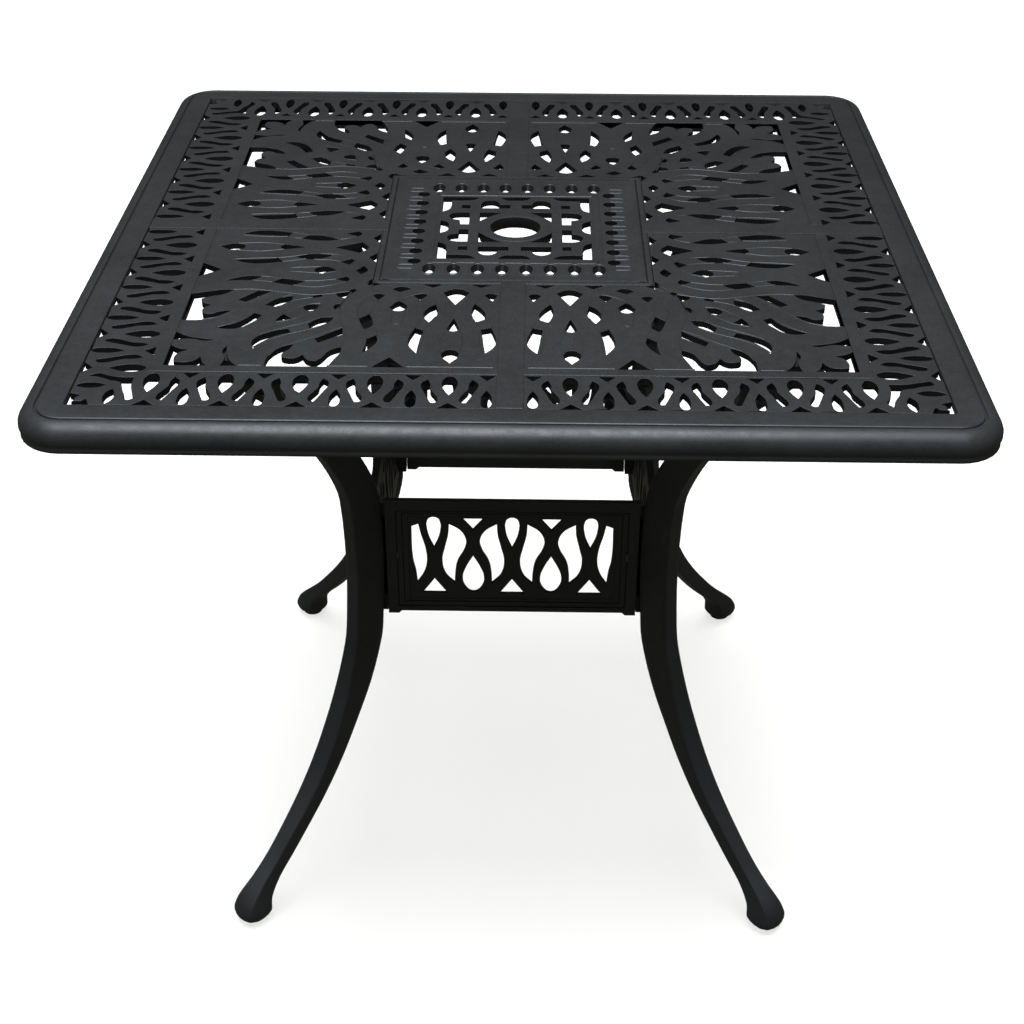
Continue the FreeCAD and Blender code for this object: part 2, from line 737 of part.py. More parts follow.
def main():
    """Build every piece and write it."""
    os.makedirs("parts", exist_ok=True)
    save(rim(), "rim")
    save(centre_panel(), "centre_panel")
    cornered = {"divider": divider(), "fan_panel": fan_panel(), "border_lattice": border_lattice()}
    cornered.update({"leg": leg(), "glide_pad": glide_pad(), "glide_stud": glide_stud()})
    for quarter, corner in enumerate(CORNERS):
        for name, shape in cornered.items():
            save(turned(shape, quarter), name + "_" + corner)
    sided = {"cross_rib": cross_rib(), "apron": apron()}
    for quarter, side in enumerate(SIDES):
        for name, shape in sided.items():
            save(turned(shape, quarter), name + "_" + side)
    save(Part.makeCompound(leg_screws()), "leg_screws")
    save(Part.makeCompound(apron_screws()), "apron_screws")


main()
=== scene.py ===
import json
import math

import bpy
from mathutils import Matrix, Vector

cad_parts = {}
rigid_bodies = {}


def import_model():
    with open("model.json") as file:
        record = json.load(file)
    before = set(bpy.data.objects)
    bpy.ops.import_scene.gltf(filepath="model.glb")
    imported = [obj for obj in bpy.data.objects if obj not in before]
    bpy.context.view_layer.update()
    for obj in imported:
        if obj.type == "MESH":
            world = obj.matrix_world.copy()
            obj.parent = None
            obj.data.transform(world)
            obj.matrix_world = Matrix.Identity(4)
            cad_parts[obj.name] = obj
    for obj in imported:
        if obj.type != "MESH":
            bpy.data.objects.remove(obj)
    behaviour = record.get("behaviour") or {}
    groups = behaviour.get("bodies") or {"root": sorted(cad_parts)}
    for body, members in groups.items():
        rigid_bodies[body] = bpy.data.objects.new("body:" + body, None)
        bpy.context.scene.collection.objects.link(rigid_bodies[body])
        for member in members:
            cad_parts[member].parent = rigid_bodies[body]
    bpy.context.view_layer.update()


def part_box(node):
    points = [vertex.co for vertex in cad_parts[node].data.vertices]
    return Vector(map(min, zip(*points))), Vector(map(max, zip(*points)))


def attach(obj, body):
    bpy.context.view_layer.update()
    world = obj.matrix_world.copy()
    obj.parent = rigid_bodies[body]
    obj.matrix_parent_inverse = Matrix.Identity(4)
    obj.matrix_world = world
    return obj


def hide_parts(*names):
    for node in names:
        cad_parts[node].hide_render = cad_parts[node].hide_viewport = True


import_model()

bl_info = {
    "name": "Umbrella table",
    "version": (1, 0, 0),
    "blender": (4, 5, 0),
    "location": "View3D > Sidebar > Umbrella table",
    "description": "Dresses the packed frame of a square cast patio table",
    "category": "Object",
}

# Drawings below are in millimetres, as the table's own drawings are.
MM = 0.001

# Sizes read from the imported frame, and those that follow from them
RIM_LOW, RIM_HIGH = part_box("rim")
HALF = RIM_HIGH[0] / MM
TOP = RIM_HIGH[2] / MM
RIM_THICK = TOP - RIM_LOW[2] / MM
FAN_LOW, FAN_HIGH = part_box("fan_panel_back_right")
RIB_HALF = FAN_LOW[0] / MM
PANEL_HALF = FAN_HIGH[0] / MM
PANEL_TOP = FAN_HIGH[2] / MM
BOSS_LOW = FAN_LOW[2] / MM
BORDER_LOW, BORDER_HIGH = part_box("border_lattice_back_right")
BORDER_OUT = BORDER_HIGH[0] / MM
BORDER_BOTTOM = BORDER_LOW[2] / MM
DIVIDER_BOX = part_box("divider_back_right")
BORDER_IN = DIVIDER_BOX[1][0] / MM
RIB_BOTTOM = DIVIDER_BOX[0][2] / MM
SEAM = BORDER_OUT + 2.0
PANEL_THICK = 6.6
PANEL_BOTTOM = PANEL_TOP - PANEL_THICK
CENTRE_LOW, CENTRE_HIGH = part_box("centre_panel")
CENTRE_HALF = CENTRE_HIGH[0] / MM
CENTRE_EDGE = CENTRE_HALF + 2.8
CENTRE_GROOVE = CENTRE_HALF - 3.3
RING_BOTTOM = CENTRE_LOW[2] / MM
APRON_LOW, APRON_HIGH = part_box("apron_back")
APRON_END = APRON_HIGH[0] / MM
APRON_FRONT = APRON_HIGH[1] / MM
APRON_BACK = APRON_LOW[1] / MM
APRON_TOP = APRON_HIGH[2] / MM
APRON_FOOT_LOW = APRON_LOW[2] / MM
APRON_PLATE_LOW = APRON_FOOT_LOW + 3.5
APRON_MIDDLE = (APRON_TOP + APRON_PLATE_LOW) / 2
PAD_LOW, PAD_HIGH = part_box("glide_pad_back_right")
GLIDE_PLACE = (PAD_LOW[0] + PAD_HIGH[0]) / 2 / MM
PAD_TOP = PAD_HIGH[2] / MM
STUD_LOW, STUD_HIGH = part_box("glide_stud_back_right")

# How far a panel's edge lies inside the rib beside it, and where the rim's hollow ends
TUCK = 2.6
RIM_LIP = HALF - 12.0
# A leg's top on each axis, the underside of its flange, and the lug behind the aprons
LEG_TOP_PLACE = 270.0
FLANGE_LOW = BOSS_LOW - 9.0
LUG_START = APRON_END + 0.5
LUG_ARM = 10.0
LUG_HALF = 52.0
LEG_ROOT = 153.0

CORNERS = ["back_right", "back_left", "front_left", "front_right"]
SIDES = ["back", "left", "front", "right"]
FRONT_FIRST = ["front", "right", "back", "left"]


class TableSizes(bpy.types.PropertyGroup):
    edge_round: bpy.props.FloatProperty(
        name="Edge round", description="Rounding of the cast edges",
        default=0.0005, min=0.0002, max=0.002, precision=4, unit="LENGTH")
    line_height: bpy.props.FloatProperty(
        name="Line height", description="How far the fine cast lines stand out",
        default=0.00055, min=0.0001, max=0.0008, precision=5, unit="LENGTH")
    line_width: bpy.props.FloatProperty(
        name="Line width", description="Width of the fine cast lines",
        default=0.0016, min=0.0005, max=0.003, precision=4, unit="LENGTH")
    leg_corner: bpy.props.FloatProperty(
        name="Leg corner", description="Rounding along the edges of a leg",
        default=0.003, min=0.0005, max=0.006, precision=4, unit="LENGTH")
    rim_groove: bpy.props.FloatProperty(
        name="Rim groove", description="Depth of the line between the rim's band and its nose",
        default=0.0024, min=0.0002, max=0.003, precision=4, unit="LENGTH")


class FinishColours(bpy.types.PropertyGroup):
    coat: bpy.props.FloatVectorProperty(
        name="Coat", description="Colour of the powder coat",
        default=(0.0165, 0.0168, 0.0172), min=0, max=1, size=3, subtype="COLOR")
    coat_light: bpy.props.FloatVectorProperty(
        name="Coat, worn", description="Colour of the powder coat where it is thin",
        default=(0.0245, 0.025, 0.0255), min=0, max=1, size=3, subtype="COLOR")
    # Near-black colour that paints shade on the upright walls of the openings
    wall_painted_shade: bpy.props.FloatVectorProperty(
        name="Painted shade, walls", description="Painted shade on the walls of the openings",
        default=(0.003, 0.003, 0.003), min=0, max=1, size=3, subtype="COLOR")
    coat_roughness: bpy.props.FloatProperty(
        name="Coat roughness", description="Mean roughness of the powder coat",
        default=0.46, min=0, max=1, subtype="FACTOR")
    plastic: bpy.props.FloatVectorProperty(
        name="Plastic", description="Colour of the glides",
        default=(0.006, 0.006, 0.006), min=0, max=1, size=3, subtype="COLOR")
    zinc: bpy.props.FloatVectorProperty(
        name="Zinc", description="Colour of the screws and studs",
        default=(0.50, 0.51, 0.50), min=0, max=1, size=3, subtype="COLOR")


class StageSettings(bpy.types.PropertyGroup):
    floor: bpy.props.FloatVectorProperty(
        name="Floor", description="Colour of the floor",
        default=(0.90, 0.90, 0.90), min=0, max=1, size=3, subtype="COLOR")
    floor_side: bpy.props.FloatProperty(
        name="Floor side", description="Length of the floor's sides",
        default=30.0, min=5, unit="LENGTH")
    overhead_power: bpy.props.FloatProperty(
        name="Overhead light", description="Power of the soft light over the table",
        default=129.0, min=0, unit="POWER")
    floor_light: bpy.props.FloatProperty(
        name="Floor light", description="Strength of the even light on the floor",
        default=2.5, min=0)
    shadow_power: bpy.props.FloatProperty(
        name="Shadow light", description="Power of the soft light that shades the floor",
        default=242.0, min=0, unit="POWER")
    side_power: bpy.props.FloatProperty(
        name="Side lights", description="Power of each of the two lights beside the legs",
        default=22.0, min=0, unit="POWER")
    surround: bpy.props.FloatProperty(
        name="Surround", description="Strength of the light from all round",
        default=0.09, min=0, max=5)


class TableSettings(bpy.types.PropertyGroup):
    sizes: bpy.props.PointerProperty(type=TableSizes)
    colours: bpy.props.PointerProperty(type=FinishColours)
    stage: bpy.props.PointerProperty(type=StageSettings)


def settings():
    """What the user sees in the panel."""
    return bpy.context.scene.umbrella_table


# Selecting and finishing

def pick(*objects):
    """Select only these objects, the last one active."""
    bpy.ops.object.select_all(action="DESELECT")
    for item in objects:
        item.select_set(True)
    bpy.context.view_layer.objects.active = objects[-1]


def add_object(name, data):
    """Object that holds this data, placed at the middle of the scene."""
    item = bpy.data.objects.new(name, data)
    bpy.context.collection.objects.link(item)
    return item


def apply_place(item):
    """Put an object's place, turn and scale into its mesh."""
    pick(item)
    bpy.ops.object.transform_apply(location=True, rotation=True, scale=True)


def clean(item):
    """Merge double vertices and turn all faces outwards."""
    pick(item)
    bpy.ops.object.mode_set(mode="EDIT")
    bpy.ops.mesh.select_all(action="SELECT")
    bpy.ops.mesh.remove_doubles(threshold=0.002 * MM)
    bpy.ops.mesh.normals_make_consistent(inside=False)
    bpy.ops.object.mode_set(mode="OBJECT")


def smooth(item, degrees):
    """Smooth shading except across edges sharper than this."""
    pick(item)
    bpy.ops.object.shade_smooth_by_angle(angle=math.radians(degrees))


def settle(item, degrees, z=0.0, upright=MM):
    """Turn a mesh drawn in millimetres to size at a height, clean it and smooth it."""
    item.location.z = z * MM
    item.scale = (MM, MM, upright)
    apply_place(item)
    clean(item)
    smooth(item, degrees)
    return item


def join(*items):
    """One object out of several; the first gives the name."""
    pick(*reversed(items))
    bpy.ops.object.join()
    return bpy.context.active_object


def copy_turned(item, name, quarters):
    """Copy with its own mesh, turned about the table's middle by quarter turns."""
    pick(item)
    bpy.ops.object.duplicate(linked=False)
    copy = bpy.context.active_object
    copy.name = name
    copy.data.name = name
    copy.rotation_euler = (0, 0, quarters * math.pi / 2)
    apply_place(copy)
    return copy


def dress(piece, node, slot="powder_coat", body="table"):
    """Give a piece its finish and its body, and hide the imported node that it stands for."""
    piece.data.materials.clear()
    piece.data.materials.append(finish(slot))
    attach(piece, body)
    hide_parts(node)


def dress_all(item, kind, places, node, slot="powder_coat", body=None):
    """Dress a piece and its quarter-turn copies, each with its own body where one is named."""
    item.name = kind + "_" + places[0]
    copies = [copy_turned(item, kind + "_" + places[quarter], quarter) for quarter in (1, 2, 3)]
    for place, piece in zip(places, [item] + copies):
        dress(piece, node + "_" + place, slot, body + "_" + place if body else "table")


# Shapes

def sharp(points):
    """Closed outline with a corner at every point."""
    return [(x, y, 1) for x, y in points]


def rectangle(x0, y0, x1, y1):
    return sharp([(x0, y0), (x1, y0), (x1, y1), (x0, y1)])


def corner_plan(near, inner, outer):
    """L-shaped plan round a corner of the top."""
    return sharp([(near, inner), (inner, inner), (inner, near),
                  (outer, near), (outer, outer), (near, outer)])


def circle(x, y, rx, ry=None):
    """Outline of a circle or oval."""
    ry = ry or rx
    angles = [math.pi / 4 * step for step in range(8)]
    return [(x + rx * math.cos(a), y + ry * math.sin(a)) for a in angles]


def turned(outline, quarter):
    """Outline turned about the middle by quarter turns."""
    for _ in range(quarter):
        outline = [(-p[1], p[0]) + tuple(p[2:]) for p in outline]
    return outline


def swapped(outline):
    """Outline mirrored about the diagonal."""
    return [(p[1], p[0]) + tuple(p[2:]) for p in outline]


def moved(outline, dx=0.0, dy=0.0, sx=1.0, sy=1.0):
    """Outline scaled and then moved."""
    return [(p[0] * sx + dx, p[1] * sy + dy) + tuple(p[2:]) for p in outline]


def mirrored(half, middle=0.0):
    """Whole outline from its half on one side of an upright line."""
    back = moved([point for point in reversed(half) if point[0] != middle], 2 * middle, sx=-1)
    return half + back


def across_diagonal(half):
    """Whole outline from its half on one side of the diagonal."""
    return half + swapped([point for point in reversed(half) if point[0] != point[1]])


def add_loop(drawing, points, closed=True):
    """Add a smooth line to a drawing; a third value marks a sharp corner."""
    loop = drawing.splines.new("BEZIER")
    loop.bezier_points.add(len(points) - 1)
    for knot, point in zip(loop.bezier_points, points):
        knot.co = (point[0], point[1], 0)
        handle = "VECTOR" if len(point) > 2 else "AUTO"
        knot.handle_left_type = handle
        knot.handle_right_type = handle
    loop.use_cyclic_u = closed


def new_drawing(name, flat=True, steps=5):
    drawing = bpy.data.curves.new(name, "CURVE")
    drawing.dimensions = "2D" if flat else "3D"
    drawing.resolution_u = steps
    return drawing


def drawing_to_mesh(drawing):
    """Turn a drawing into a mesh object and return it."""
    pick(add_object(drawing.name, drawing))
    bpy.ops.object.convert(target="MESH")
    return bpy.context.active_object


def mark_faces_for_painted_shade(item, limit=0.5):
    """Note which faces are upright, for the finish to paint shade on; a limit over 1 takes all."""
    faces = item.data.polygons
    # The wall attribute marks the faces that get painted shade
    upright = item.data.attributes.new("wall", "FLOAT", "FACE")
    upright.data.foreach_set("value", [float(abs(face.normal.z) < limit) for face in faces])


def flat_casting(name, outline, openings, low, high, edge=None, steps=5):
    """Flat casting with openings, its edges rounded."""
    edge = settings().sizes.edge_round / MM if edge is None else edge
    drawing = new_drawing(name, steps=steps)
    drawing.fill_mode = "BOTH"
    for loop in [outline] + list(openings):
        add_loop(drawing, loop)
    drawing.extrude = (high - low) / 2 - edge
    drawing.bevel_depth = edge
    drawing.bevel_resolution = 1
    drawing.offset = -edge
    item = settle(drawing_to_mesh(drawing), degrees=20, z=(low + high) / 2)
    # Its upright faces get painted shade
    mark_faces_for_painted_shade(item)
    return item


def swept(name, path, section, z=0.0):
    """Closed section swept round a closed path; the section's x runs inwards."""
    profile = new_drawing(name + "_section")
    add_loop(profile, section)
    profile.resolution_u = 1
    profile_item = add_object(profile.name, profile)
    drawing = new_drawing(name, steps=6)
    drawing.fill_mode = "NONE"
    add_loop(drawing, path)
    drawing.bevel_mode = "OBJECT"
    drawing.bevel_object = profile_item
    item = drawing_to_mesh(drawing)
    bpy.data.objects.remove(profile_item)
    return settle(item, degrees=30, z=z)


def cast_lines(name, lines, z, wider=1.0):
    """Fine raised lines on a face at height z, kept under the top's highest face."""
    width = settings().sizes.line_width / MM * wider
    height = min(settings().sizes.line_height * wider, 0.78 * MM)
    drawing = new_drawing(name, flat=False, steps=4)
    drawing.bevel_depth = width / 2
    drawing.bevel_resolution = 1
    drawing.use_fill_caps = True
    for line in lines:
        add_loop(drawing, line, closed=False)
    return settle(drawing_to_mesh(drawing), degrees=50, z=z, upright=2 * height / width)


def round_square(reach, corner_r):
    """Path round a square with rounded corners, anticlockwise."""
    flat = reach - corner_r
    angles = [math.pi / 2 * step / 8 for step in range(9)]
    arc = sharp([(flat + corner_r * math.cos(a), flat + corner_r * math.sin(a)) for a in angles])
    return [point for quarter in range(4) for point in turned(arc, quarter)]


def section_ring(name, section):
    """Closed line through a section of (radius, height)."""
    bpy.ops.mesh.primitive_circle_add(vertices=len(section), radius=1, fill_type="NOTHING")
    item = bpy.context.active_object
    item.name = name
    for corner, (radius, height) in zip(item.data.vertices, section):
        corner.co = (radius, 0, height)
    return item


def spun(name, section, x, y, steps):
    """Section of (radius, height) spun about an upright axis."""
    item = section_ring(name, section)
    bpy.ops.object.mode_set(mode="EDIT")
    bpy.ops.mesh.select_all(action="SELECT")
    bpy.ops.mesh.spin(steps=steps, angle=2 * math.pi, center=(0, 0, 0), axis=(0, 0, 1))
    bpy.ops.object.mode_set(mode="OBJECT")
    item.location = (x * MM, y * MM, 0)
    return settle(item, degrees=35)


# Finishes

class Wire:
    """Output of a shader node that sums can be written with."""

    def __init__(self, tree, socket):
        self.tree = tree
        self.socket = socket

    def _sum(self, operation, other):
        return make_node(self.tree, "ShaderNodeMath", {"operation": operation}, {0: self, 1: other})

    def __add__(self, other):
        return self._sum("ADD", other)

    def __mul__(self, other):
        return self._sum("MULTIPLY", other)


def make_node(tree, kind, setup=None, inputs=None, output=0):
    """Add a node, set it up, feed its sockets and return one output."""
    node = tree.nodes.new(kind)
    for key, value in (setup or {}).items():
        setattr(node, key, value)
    for key, value in (inputs or {}).items():
        if isinstance(value, Wire):
            tree.links.new(value.socket, node.inputs[key])
        else:
            node.inputs[key].default_value = value
    return Wire(tree, node.outputs[output])


def colour_between(factor, low, high):
    """Colour that goes from one to another with a factor."""
    ends = [end if isinstance(end, Wire) else (*end, 1) for end in (low, high)]
    inputs = {0: factor, 6: ends[0], 7: ends[1]}
    return make_node(factor.tree, "ShaderNodeMix", {"data_type": "RGBA"}, inputs, output=2)


def noise(place, scale, detail=2.0, roughness=0.5):
    inputs = {"Vector": place, "Scale": scale, "Detail": detail, "Roughness": roughness}
    return make_node(place.tree, "ShaderNodeTexNoise", {}, inputs)


def limited(value, low, high):
    """Value spread from a range to 0..1."""
    inputs = {"Value": value, "From Min": low, "From Max": high}
    return make_node(value.tree, "ShaderNodeMapRange", {"clamp": True}, inputs)


def new_finish(name):
    """New material, its shader and the place on the object to draw patterns by."""
    material = bpy.data.materials.new(name)
    material.use_nodes = True
    tree = material.node_tree
    place = make_node(tree, "ShaderNodeTexCoord", output=3)
    return material, tree.nodes["Principled BSDF"], place


def bump(height, strength, distance):
    inputs = {"Strength": strength, "Distance": distance, "Height": height}
    return make_node(height.tree, "ShaderNodeBump", {}, inputs)


def feed(shader, **links):
    for key, wire in links.items():
        wire.tree.links.new(wire.socket, shader.inputs[key.replace("_", " ")])


def coat_finish():
    """Satin powder coat over a fine sand-cast skin, with painted shade on the faces marked as walls."""
    colours = settings().colours
    material, shader, place = new_finish("powder_coat_satin")
    mottle = noise(place, 14.0, 3.0)
    speck = noise(place, 420.0, 3.0, 0.6)
    skin = noise(place, 1100.0, 3.0, 0.65)
    swell = noise(place, 90.0, 2.0)
    shade = limited(mottle * 0.6 + speck * 0.4, 0.36, 0.64)
    # Faces marked as walls take the near-black painted shade
    wall = make_node(place.tree, "ShaderNodeAttribute", {"attribute_name": "wall"}, output=2)
    light = colour_between(shade, colours.coat, colours.coat_light)
    colour = colour_between(wall, light, colours.wall_painted_shade)
    cloud = limited(swell * 0.5 + speck * 0.5, 0.35, 0.65)
    rough = cloud * 0.16 + (colours.coat_roughness - 0.08)
    height = skin * 0.5 + speck * 0.35 + swell * 0.5
    feed(shader, Base_Color=colour, Roughness=rough, Normal=bump(height, 0.35, 0.0003))
    return material


def plastic_finish():
    """Matt moulded plastic with a fine spark-eroded grain."""
    colours = settings().colours
    material, shader, place = new_finish("glide_plastic_matt")
    grain = noise(place, 1600.0, 2.0)
    cloud = noise(place, 60.0, 2.0)
    base = tuple(colours.plastic)
    light = tuple(1.8 * c for c in base)
    colour = colour_between(limited(cloud * 0.5 + grain * 0.5, 0.35, 0.65), base, light)
    rough = grain * 0.14 + 0.5
    feed(shader, Base_Color=colour, Roughness=rough, Normal=bump(grain, 0.3, 0.0002))
    return material


def zinc_finish():
    """Zinc plate, drawn along and a little clouded."""
    colours = settings().colours
    material, shader, place = new_finish("zinc_plate")
    stretched = make_node(place.tree, "ShaderNodeMapping", {}, {"Vector": place, "Scale": (1, 1, 0.08)})
    grain = noise(stretched, 1800.0, 2.0)
    cloud = noise(place, 120.0, 3.0)
    base = tuple(colours.zinc)
    dull = tuple(0.72 * c for c in base)
    colour = colour_between(limited(cloud, 0.35, 0.65), dull, base)
    rough = cloud * 0.2 + 0.28 + grain * 0.08
    feed(shader, Base_Color=colour, Roughness=rough, Normal=bump(grain, 0.2, 0.0001))
    shader.inputs["Metallic"].default_value = 1.0
    return material


MAKERS = {"powder_coat": coat_finish, "glide_plastic": plastic_finish, "zinc_steel": zinc_finish}
MADE = {}


def finish(slot):
    """Material of a slot, made when it is first asked for."""
    if slot not in MADE:
        MADE[slot] = MAKERS[slot]()
    return MADE[slot]


# Rim
RIM_CORNER_R = 28.0


def rim_section():
    """Place of the nose's centre line, and the rim's section with x inwards from it."""
    nose_r = RIM_THICK / 2 + 1.0
    centre = HALF - nose_r
    middle = TOP - nose_r
    foot = TOP - RIM_THICK
    groove = settings().sizes.rim_groove / MM
    wall = centre - SEAM
    plate = TOP - 8.0
    lip = centre - RIM_LIP
    points = []
    for step in range(21):
        a = math.radians(82 - 5.2 * step)
        points.append((-nose_r * math.cos(a), middle + nose_r * math.sin(a)))
    points += [(-14.55, TOP - 22.7), (-14.75, TOP - 23.6), (-14.8, TOP - 25), (-14.6, TOP - 26.3)]
    points += [(-14.0, TOP - 27.1), (-13, TOP - 27.6), (-8, TOP - 29.0), (lip + 0.6, foot + 0.2)]
    points += [(lip, foot + 1.4), (lip, plate - 1.5), (lip + 1.5, plate)]
    points += [(wall - 0.8, plate), (wall, plate + 0.8), (wall, TOP - 0.9), (wall - 0.3, TOP - 0.25)]
    points += [(wall - 1.0, TOP), (3.5, TOP), (2.9, TOP - 0.1), (2.3, TOP - 0.35), (1.9, TOP - 0.8)]
    points += [(1.75, TOP - groove * 0.65), (1.6, TOP - groove), (0.2, TOP - groove)]
    points += [(-0.2, TOP - groove * 0.5), (-0.6, TOP - 0.5), (-1.2, TOP - 0.2)]
    return centre, sharp(points)


class TABLE_OT_rim(bpy.types.Operator):
    """Sweep the rim: flat band, fine groove and half-round nose, hollow beneath"""
    bl_idname = "umbrella_table.rim"
    bl_label = "Rim"

    def execute(self, context):
        centre, section = rim_section()
        piece = swept("rim_casting", round_square(centre, RIM_CORNER_R), section)
        dress(piece, "rim")
        return {"FINISHED"}


# Ribs

class TABLE_OT_ribs(bpy.types.Operator):
    """Make the four cross ribs, rounded along their edges"""
    bl_idname = "umbrella_table.ribs"
    bl_label = "Cross ribs"

    def execute(self, context):
        inner = CENTRE_GROOVE + 0.6
        outline = rectangle(-RIB_HALF, inner, RIB_HALF, SEAM - 0.5)
        rib = flat_casting("rib", outline, [], RIB_BOTTOM, TOP, edge=1.0)
        tail = rectangle(-RIB_HALF, BORDER_OUT - 2, RIB_HALF, RIM_LIP - 0.2)
        foot = flat_casting("rib_foot", tail, [], RIB_BOTTOM, TOP - 8.2, edge=1.0)
        rib = join(rib, foot)
        dress_all(rib, "cross_rib_bar", SIDES, "cross_rib")
        return {"FINISHED"}


class TABLE_OT_dividers(bpy.types.Operator):
    """Make the dividing rib round each quarter"""
    bl_idname = "umbrella_table.dividers"
    bl_label = "Dividing ribs"

    def execute(self, context):
        outline = corner_plan(RIB_HALF - 1.5, PANEL_HALF, BORDER_IN)
        bar = flat_casting("divider", outline, [], RIB_BOTTOM, TOP, edge=1.1)
        dress_all(bar, "divider_bar", CORNERS, "divider")
        return {"FINISHED"}


# Fan panels: openings of the eighth next to a cross rib, (across, outward)
FAN_OPENINGS = [
    [(21, 141.5, 1), (42.5, 141.5, 1), (32, 149, 1)],
    [(69.5, 141.5, 1), (91, 141.5, 1), (79.5, 149.5, 1)],
    [(101, 153, 1), (111, 148), (120, 154, 1), (112, 160, 1)],
    [(15, 165.5, 1), (22, 162), (28, 166, 1), (20, 179, 1)],
    [(43, 160, 1), (56, 152), (69, 160.5, 1), (56, 187, 1)],
    [(84, 167, 1), (88, 163.5), (98, 168, 1), (91, 177.5, 1)],
    [(126, 168, 1), (133, 164.5), (138, 167.5, 1), (132, 178, 1)],
    [(37, 185, 1), (39.5, 200), (38, 213), (34.5, 224, 1), (26.5, 218, 1), (26, 207), (31, 194)],
    [(20, 235.5, 1), (29.5, 239, 1), (27.5, 253), (26, 270), (24, 287, 1), (16.5, 275), (14.5, 262),
     (17, 247)],
    [(75, 187, 1), (82, 195), (85.5, 212), (80, 225, 1), (74, 214), (72.5, 200)],
    [(83, 243, 1), (92, 237, 1), (96.5, 256), (96, 272), (88, 288, 1), (87, 268), (85.5, 253)],
    [(56, 217, 1), (59.5, 229), (62, 240, 1), (56, 243.5), (50, 240, 1), (52.5, 229)],
    [(48.5, 290), (56, 280.5), (64.5, 290), (56, 307, 1)],
    [(111, 180, 1), (117, 187), (119, 195), (111, 202), (103, 195), (105, 187)],
    [(138, 209, 1), (147, 219, 1), (144, 231), (140, 241, 1), (132, 233, 1), (134.5, 220)],
    [(128, 253, 1), (136, 261, 1), (136.5, 274), (138, 288, 1), (130, 276), (126, 264)],
    [(97, 316.8, 1), (112, 296.5, 1), (128, 316.8, 1)],
    [(167, 190, 1), (170, 187.5), (175, 196, 1), (172, 200, 1)],
    [(171, 216.5, 1), (184, 218), (195, 231, 1), (191.5, 241, 1), (177, 230)],
    [(161, 239, 1), (173, 250), (185, 261, 1), (181, 269, 1), (160, 252, 1)],
    [(213, 241, 1), (228, 248), (240, 259), (243, 269), (240, 282, 1), (232, 266), (222, 256),
     (209, 249, 1)],
    [(159, 277, 1), (168, 284), (174.5, 299), (179, 305.5, 1), (187, 303), (192.5, 293.5, 1),
     (198, 299.5), (205, 300.5), (211, 297.5), (211.5, 290), (206.5, 283), (203.5, 272.5, 1),
     (214, 278), (222.5, 291), (225, 303), (225, 316.8, 1), (168, 316.8, 1), (163, 302), (158, 285)],
    [(265, 277, 1), (267.5, 287), (263.5, 300), (265.5, 316.8, 1), (250, 316.8, 1), (258, 306),
     (263, 291)],
]
FAN_DIAGONAL = [across_diagonal(half) for half in (
    [(158.5, 153.5, 1), (175, 164.5, 1), (171.5, 171.5)],
    [(139, 139), (142, 131, 1), (148, 141, 1)],
    [(189, 189, 1), (200, 190.5), (203.5, 196, 1), (201, 201)],
    [(216, 216, 1), (221, 210, 1), (225, 217), (226, 226, 1)],
    [(316.8, 316.8, 1), (277, 316.8, 1), (282, 311), (286, 299, 1), (290, 306), (299, 310),
     (309, 309, 1)],
)]
# Fine lines cast on the fan panels
FAN_LINES = [
    [(28, 168), (33, 175), (36, 184)],
    [(26, 216), (22, 226), (19, 236)],
    [(34, 224), (33, 232), (30, 238)],
    [(30, 240), (30.5, 262), (27.5, 286)],
    [(50, 240), (46, 262), (48, 289)],
    [(62, 240), (67, 262), (65, 289)],
    [(84, 167), (75, 180), (72, 200)],
    [(90, 178), (87, 190), (86, 205)],
    [(74, 214), (79, 228), (83, 243)],
    [(85, 214), (89, 226), (92, 237)],
    [(83, 244), (84, 262), (87, 286)],
    [(103.5, 197), (105, 212), (111, 230), (116.5, 212), (118.5, 197)],
    [(132, 178), (136, 195), (137, 209)],
    [(138, 167.5), (147, 183), (150.5, 200), (147, 219)],
    [(133, 233), (129, 243), (127, 254)],
    [(140, 241), (138, 251), (136, 261)],
    [(160, 162), (165, 180), (168, 200), (165, 220), (160, 240), (157, 260), (158, 277)],
    [(174, 197), (179, 210), (184, 218)],
    [(88, 162), (100, 168), (112, 178), (119, 192)],
    [(145, 140), (160, 155), (180, 165), (199, 168.5)],
    [(218, 168), (232, 178), (245, 197), (256, 217), (270, 233), (280, 240)],
    [(188, 187), (200, 190), (212, 200), (222, 212), (228, 226)],
    [(182, 216), (200, 230), (220, 241), (238, 254)],
    [(161, 237), (175, 247), (190, 260), (205, 271), (218, 283), (224, 297)],
    [(16, 314.6), (50, 314.6), (95, 314.6)],
    [(131, 314.6), (150, 314.6), (168, 314.6)],
    [(228, 314.6), (238, 314.6), (249, 314.6)],
]


def at_leg_top(points):
    """Points (outward, across) from a leg's top, along the corner's diagonal."""
    reach = LEG_TOP_PLACE * math.sqrt(2)
    slant = math.sqrt(0.5)
    return [((reach + a - b) * slant, (reach + a + b) * slant) for a, b in points]


def boss_outline():
    """Pad with cut corners where a leg is screwed on."""
    upper = [(20, 13), (10, 33), (-10, 33), (-20, 13)]
    return sharp(at_leg_top(upper + [(-a, -b) for a, b in upper]))


